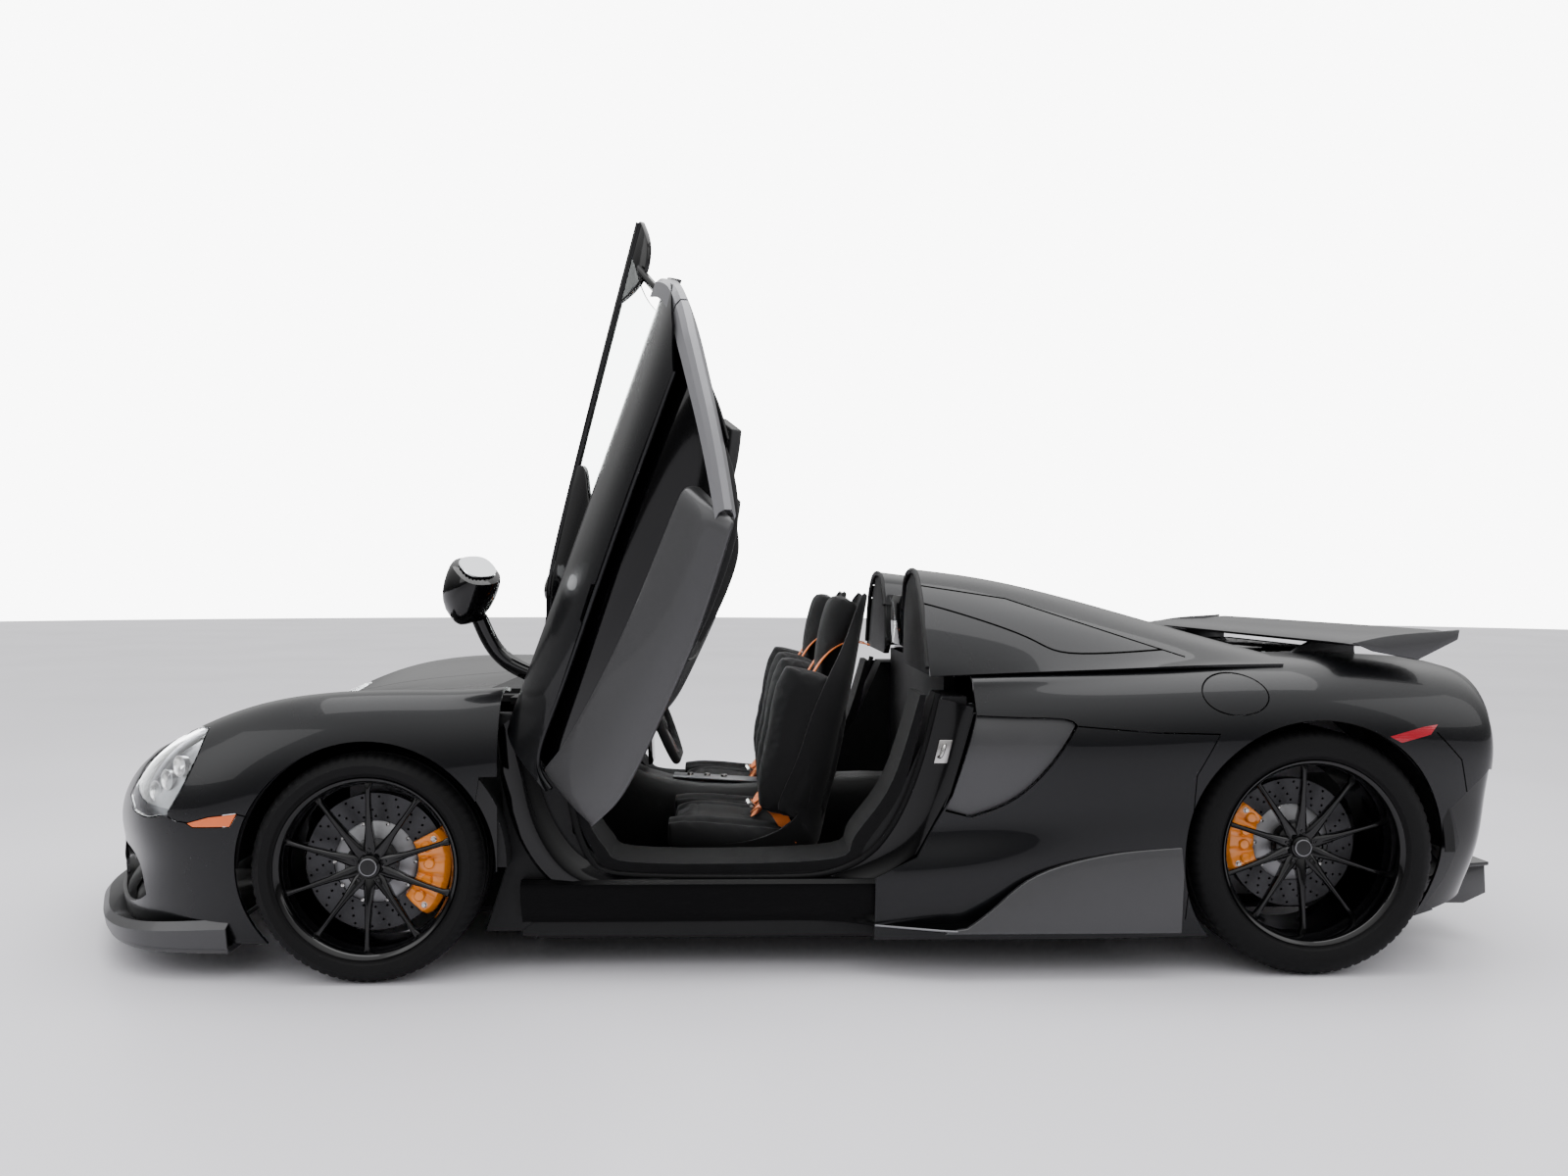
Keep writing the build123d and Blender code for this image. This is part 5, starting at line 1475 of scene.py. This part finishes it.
con = join("console", paint(con, LEATHER), paint(bevel(plate, .003, 2), SATIN),
           *[paint(k, STEEL) for k in keys], paint(bevel(arm_rest, .008, 3), SUEDE))
fit(con, "car_body", None, "seat_cloth", "centre_console")

# ==== steering wheel ============================================================================
# A flat-bottomed suede rim with three satin spokes, a suede boss, shift paddles and the end of the
# column, made about its own axis and then tilted and placed.
hub_at = Vector((-.440, -.370, .680))
tilt = Matrix.Translation(hub_at) @ Matrix.Rotation(radians(-22), 4, "Y")
loop = []
for k in range(48):
    a = 2 * pi * k / 48
    loop.append((0, .164 * cos(a), max(.164 * sin(a), -.142)))
rim = tube("right_rim", loop, .0145, 14, per=1, loop=True)
arms_w = [tube("arm", [(0, .15, .012), (-.004, .09, .006), (-.012, .035, 0)], .011, 12, .5),
          tube("arm", [(0, -.15, .012), (-.004, -.09, .006), (-.012, -.035, 0)], .011, 12, .5),
          tube("arm", [(0, 0, -.142), (-.004, 0, -.09), (-.012, 0, -.035)], .013, 12, .5)]
boss = lathe("boss", [(.0002, .008), (.044, .004), (.054, -.008), (.050, -.030), (.0002, -.034)],
             48)
boss.data.transform(Matrix.Rotation(-pi / 2, 4, "Z"))
column = lathe("column", [(.0002, -.030), (.034, -.030), (.034, -.050), (.0002, -.050)], 32)
column.data.transform(Matrix.Rotation(-pi / 2, 4, "Z"))
paddles = [prism("paddle", [(-.030, .05), (-.026, .05), (-.026, -.03), (-.030, -.03)],
                 s * .075 - .018, s * .075 + .018) for s in (-1, 1)]
wheel = join("hand_rim", paint(rim, SUEDE), *[paint(a, SATIN) for a in arms_w], paint(boss, SUEDE),
             paint(column, TRIM), *[paint(bevel(p, .001, 1), SATIN) for p in paddles])
wheel.data.transform(tilt)
fit(wheel, "hand_wheel", None, "seat_cloth", "steering_wheel")

# ==== door openings =============================================================================
# A soft rubber bead round each opening, the carpeted sill step inside it, and the gloss black
# pillar behind with its steel latch. Two carpet mats lie on the floor.
CARPET = material("black_carpet", (0.006, 0.006, 0.0065), rough=0.95, vary=0.4, patch=20, bump=0.9,
                  sheen=0.05, shine=0.1)
SEAL = natural([(-.690, .853, .640), (-.650, .853, .420), (-.600, .853, .312), (-.480, .853, .276),
                (-.10, .853, .270), (.080, .853, .284), (.205, .853, .352), (.298, .853, .500),
                (.352, .853, .660), (.385, .853, .800)], 8)
bead = tube("right_bead", [tuple(p) for p in SEAL], .011, 12, .8, per=1)
pillar_rows = []
for x, y, z in natural([(.120, 0, .268), (.262, 0, .345), (.345, 0, .500), (.395, 0, .650),
                        (.425, 0, .780)], 6):
    pillar_rows.append([(x - .045, .850, z + .006), (x - .010, .852, z),
                        (x + .030, .860, z - .010), (x + .055, .868, z - .018),
                        (x + .072, .868, z - .026), (x + .090, .850, z - .030)])
pillar = shell("right_pillar", np.array(pillar_rows), -.006)
latch = prism("latch", [(.372, .600), (.412, .600), (.428, .668), (.388, .668)], .864, .871)
catch = tube("catch", [(.385, .868, .618), (.392, .884, .625), (.400, .884, .648),
                       (.404, .868, .655)], .005, 10)
step = prism("step",
             curve([(-.690, .640), (-.640, .420), (-.585, .318), (-.460, .286), (.060, .290),
                    (.170, .345), (.262, .480), (.320, .640), (.352, .795)], 5)
             + curve([(.335, .795), (.290, .640), (.225, .490), (.140, .372), (.040, .318),
                      (-.440, .312), (-.560, .345), (-.615, .430), (-.668, .640)], 5),
             .642, .852)
smooth(pillar)
jambs = join("right_jamb", paint(bead, TYRE), paint(pillar, GLOSS),
             paint(bevel(latch, .003, 2), STEEL), paint(catch, STEEL), paint(step, CARPET))
fit_pair(jambs, "left_jamb", None, "black_trim")
mats = [prism("mat", [(-.70, .1355), (-.33, .1355), (-.33, .143), (-.70, .143)], s * .37 - .24,
              s * .37 + .24) for s in (-1, 1)]
fit(bevel(join("floor_mats", *mats), .003, 2), "car_body", CARPET, "seat_cloth")

# ==== front posts ===============================================================================
# A gloss black panel behind each front wheel arch, curving down into the sill, with a plain liner
# inside it.
post_rows = []
for x, y, z in natural([(-.815, 0, .742), (-.800, 0, .620), (-.765, 0, .480), (-.705, 0, .365),
                        (-.620, 0, .292), (-.500, 0, .264), (-.380, 0, .258)], 6):
    post_rows.append([(x - .058, .856, z - .050), (x - .050, .872, z - .044),
                      (x - .030, .878, z - .024), (x - .008, .872, z - .006),
                      (x + .004, .862, z + .004), (x + .022, .851, z + .016)])
post = shell("right_post", np.array(post_rows), .006)
smooth(post)
liner = prism("liner", [(-.905, .12), (-.80, .12), (-.70, .20), (-.62, .26), (-.70, .36),
                        (-.76, .47), (-.80, .60), (-.83, .74), (-.90, .74), (-.86, .50),
                        (-.85, .30)], .80, .856)
post = join("right_post", paint(post, GLOSS), paint(bevel(liner, .006, 2), TRIM))
fit_pair(post, "left_post", None, "gloss_black")

# ==== diffuser ==================================================================================
# A rising woven-carbon panel under the tail with six upright fins, and a graphite blade at each
# lower corner.
CARBON = material("woven_carbon", (0.016, 0.016, 0.017), rough=0.3, metal=0.2, coat=0.4, vary=0.1,
                  grain="weave", scale=160, bump=0.1, second=(0.008, 0.008, 0.009))
panel = prism("floor", [(1.76, .100), (2.08, .232), (2.170, .240), (2.170, .252), (2.070, .246),
                        (1.76, .114)], -.62, .62)
fin = prism("fin", [(1.84, .120), (2.10, .118), (2.170, .150), (2.166, .246), (2.05, .225)],
            -.604, -.596)
fins = in_a_row(bevel(fin, .002, 2), "fins", 6, (0.0, .24, 0.0), CARBON)
corner_fins = []
for s in (-1, 1):
    corner = prism("corner",
                   curve([(1.765, .165), (1.87, .190), (1.955, .250), (1.985, .300)], 5)
                   + curve([(1.985, .300), (1.972, .245), (1.930, .198), (1.850, .158)], 5)[1:],
                   s * .775 - .018, s * .775 + .018)
    corner_fins.append(paint(bevel(corner, .003, 2), GRAPHITE))
diffuser = join("tail_diffuser", paint(bevel(panel, .003, 2), CARBON), fins, *corner_fins)
fit(diffuser, "car_body", None, "carbon_tub", "diffuser")

# ==== pieces shown as they are built ============================================================
# The tub, floor, cowl, windscreen, engine, exhausts, arms and liners already have their shape,
# so each only gets its finish. So do the pieces that are covered by others above.
for finish, *shown in (
        (TRIM, "tub", "underbody", "cowl", "arch_liners", "engine_cover"),
        (GLASS, "windscreen", "left_door_glass", "right_door_glass"),
        (GLOSS, "windscreen_frame", "side_skirts", "diffuser", "left_door_mirror",
         "right_door_mirror"),
        (PAINT, "tonneau", "left_door_skin", "right_door_skin"),
        (GRAPHITE, "rear_wing", "left_door_panel", "right_door_panel"),
        (SUEDE, "left_seat", "right_seat", "dashboard", "steering_wheel"),
        (CAST, "engine", "suspension_arms"),
        (STEEL, "exhausts"),
        (LEATHER, "centre_console"),
        (CARPET, "front_boot")):
    for node in shown:
        paint(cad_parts[node], finish)
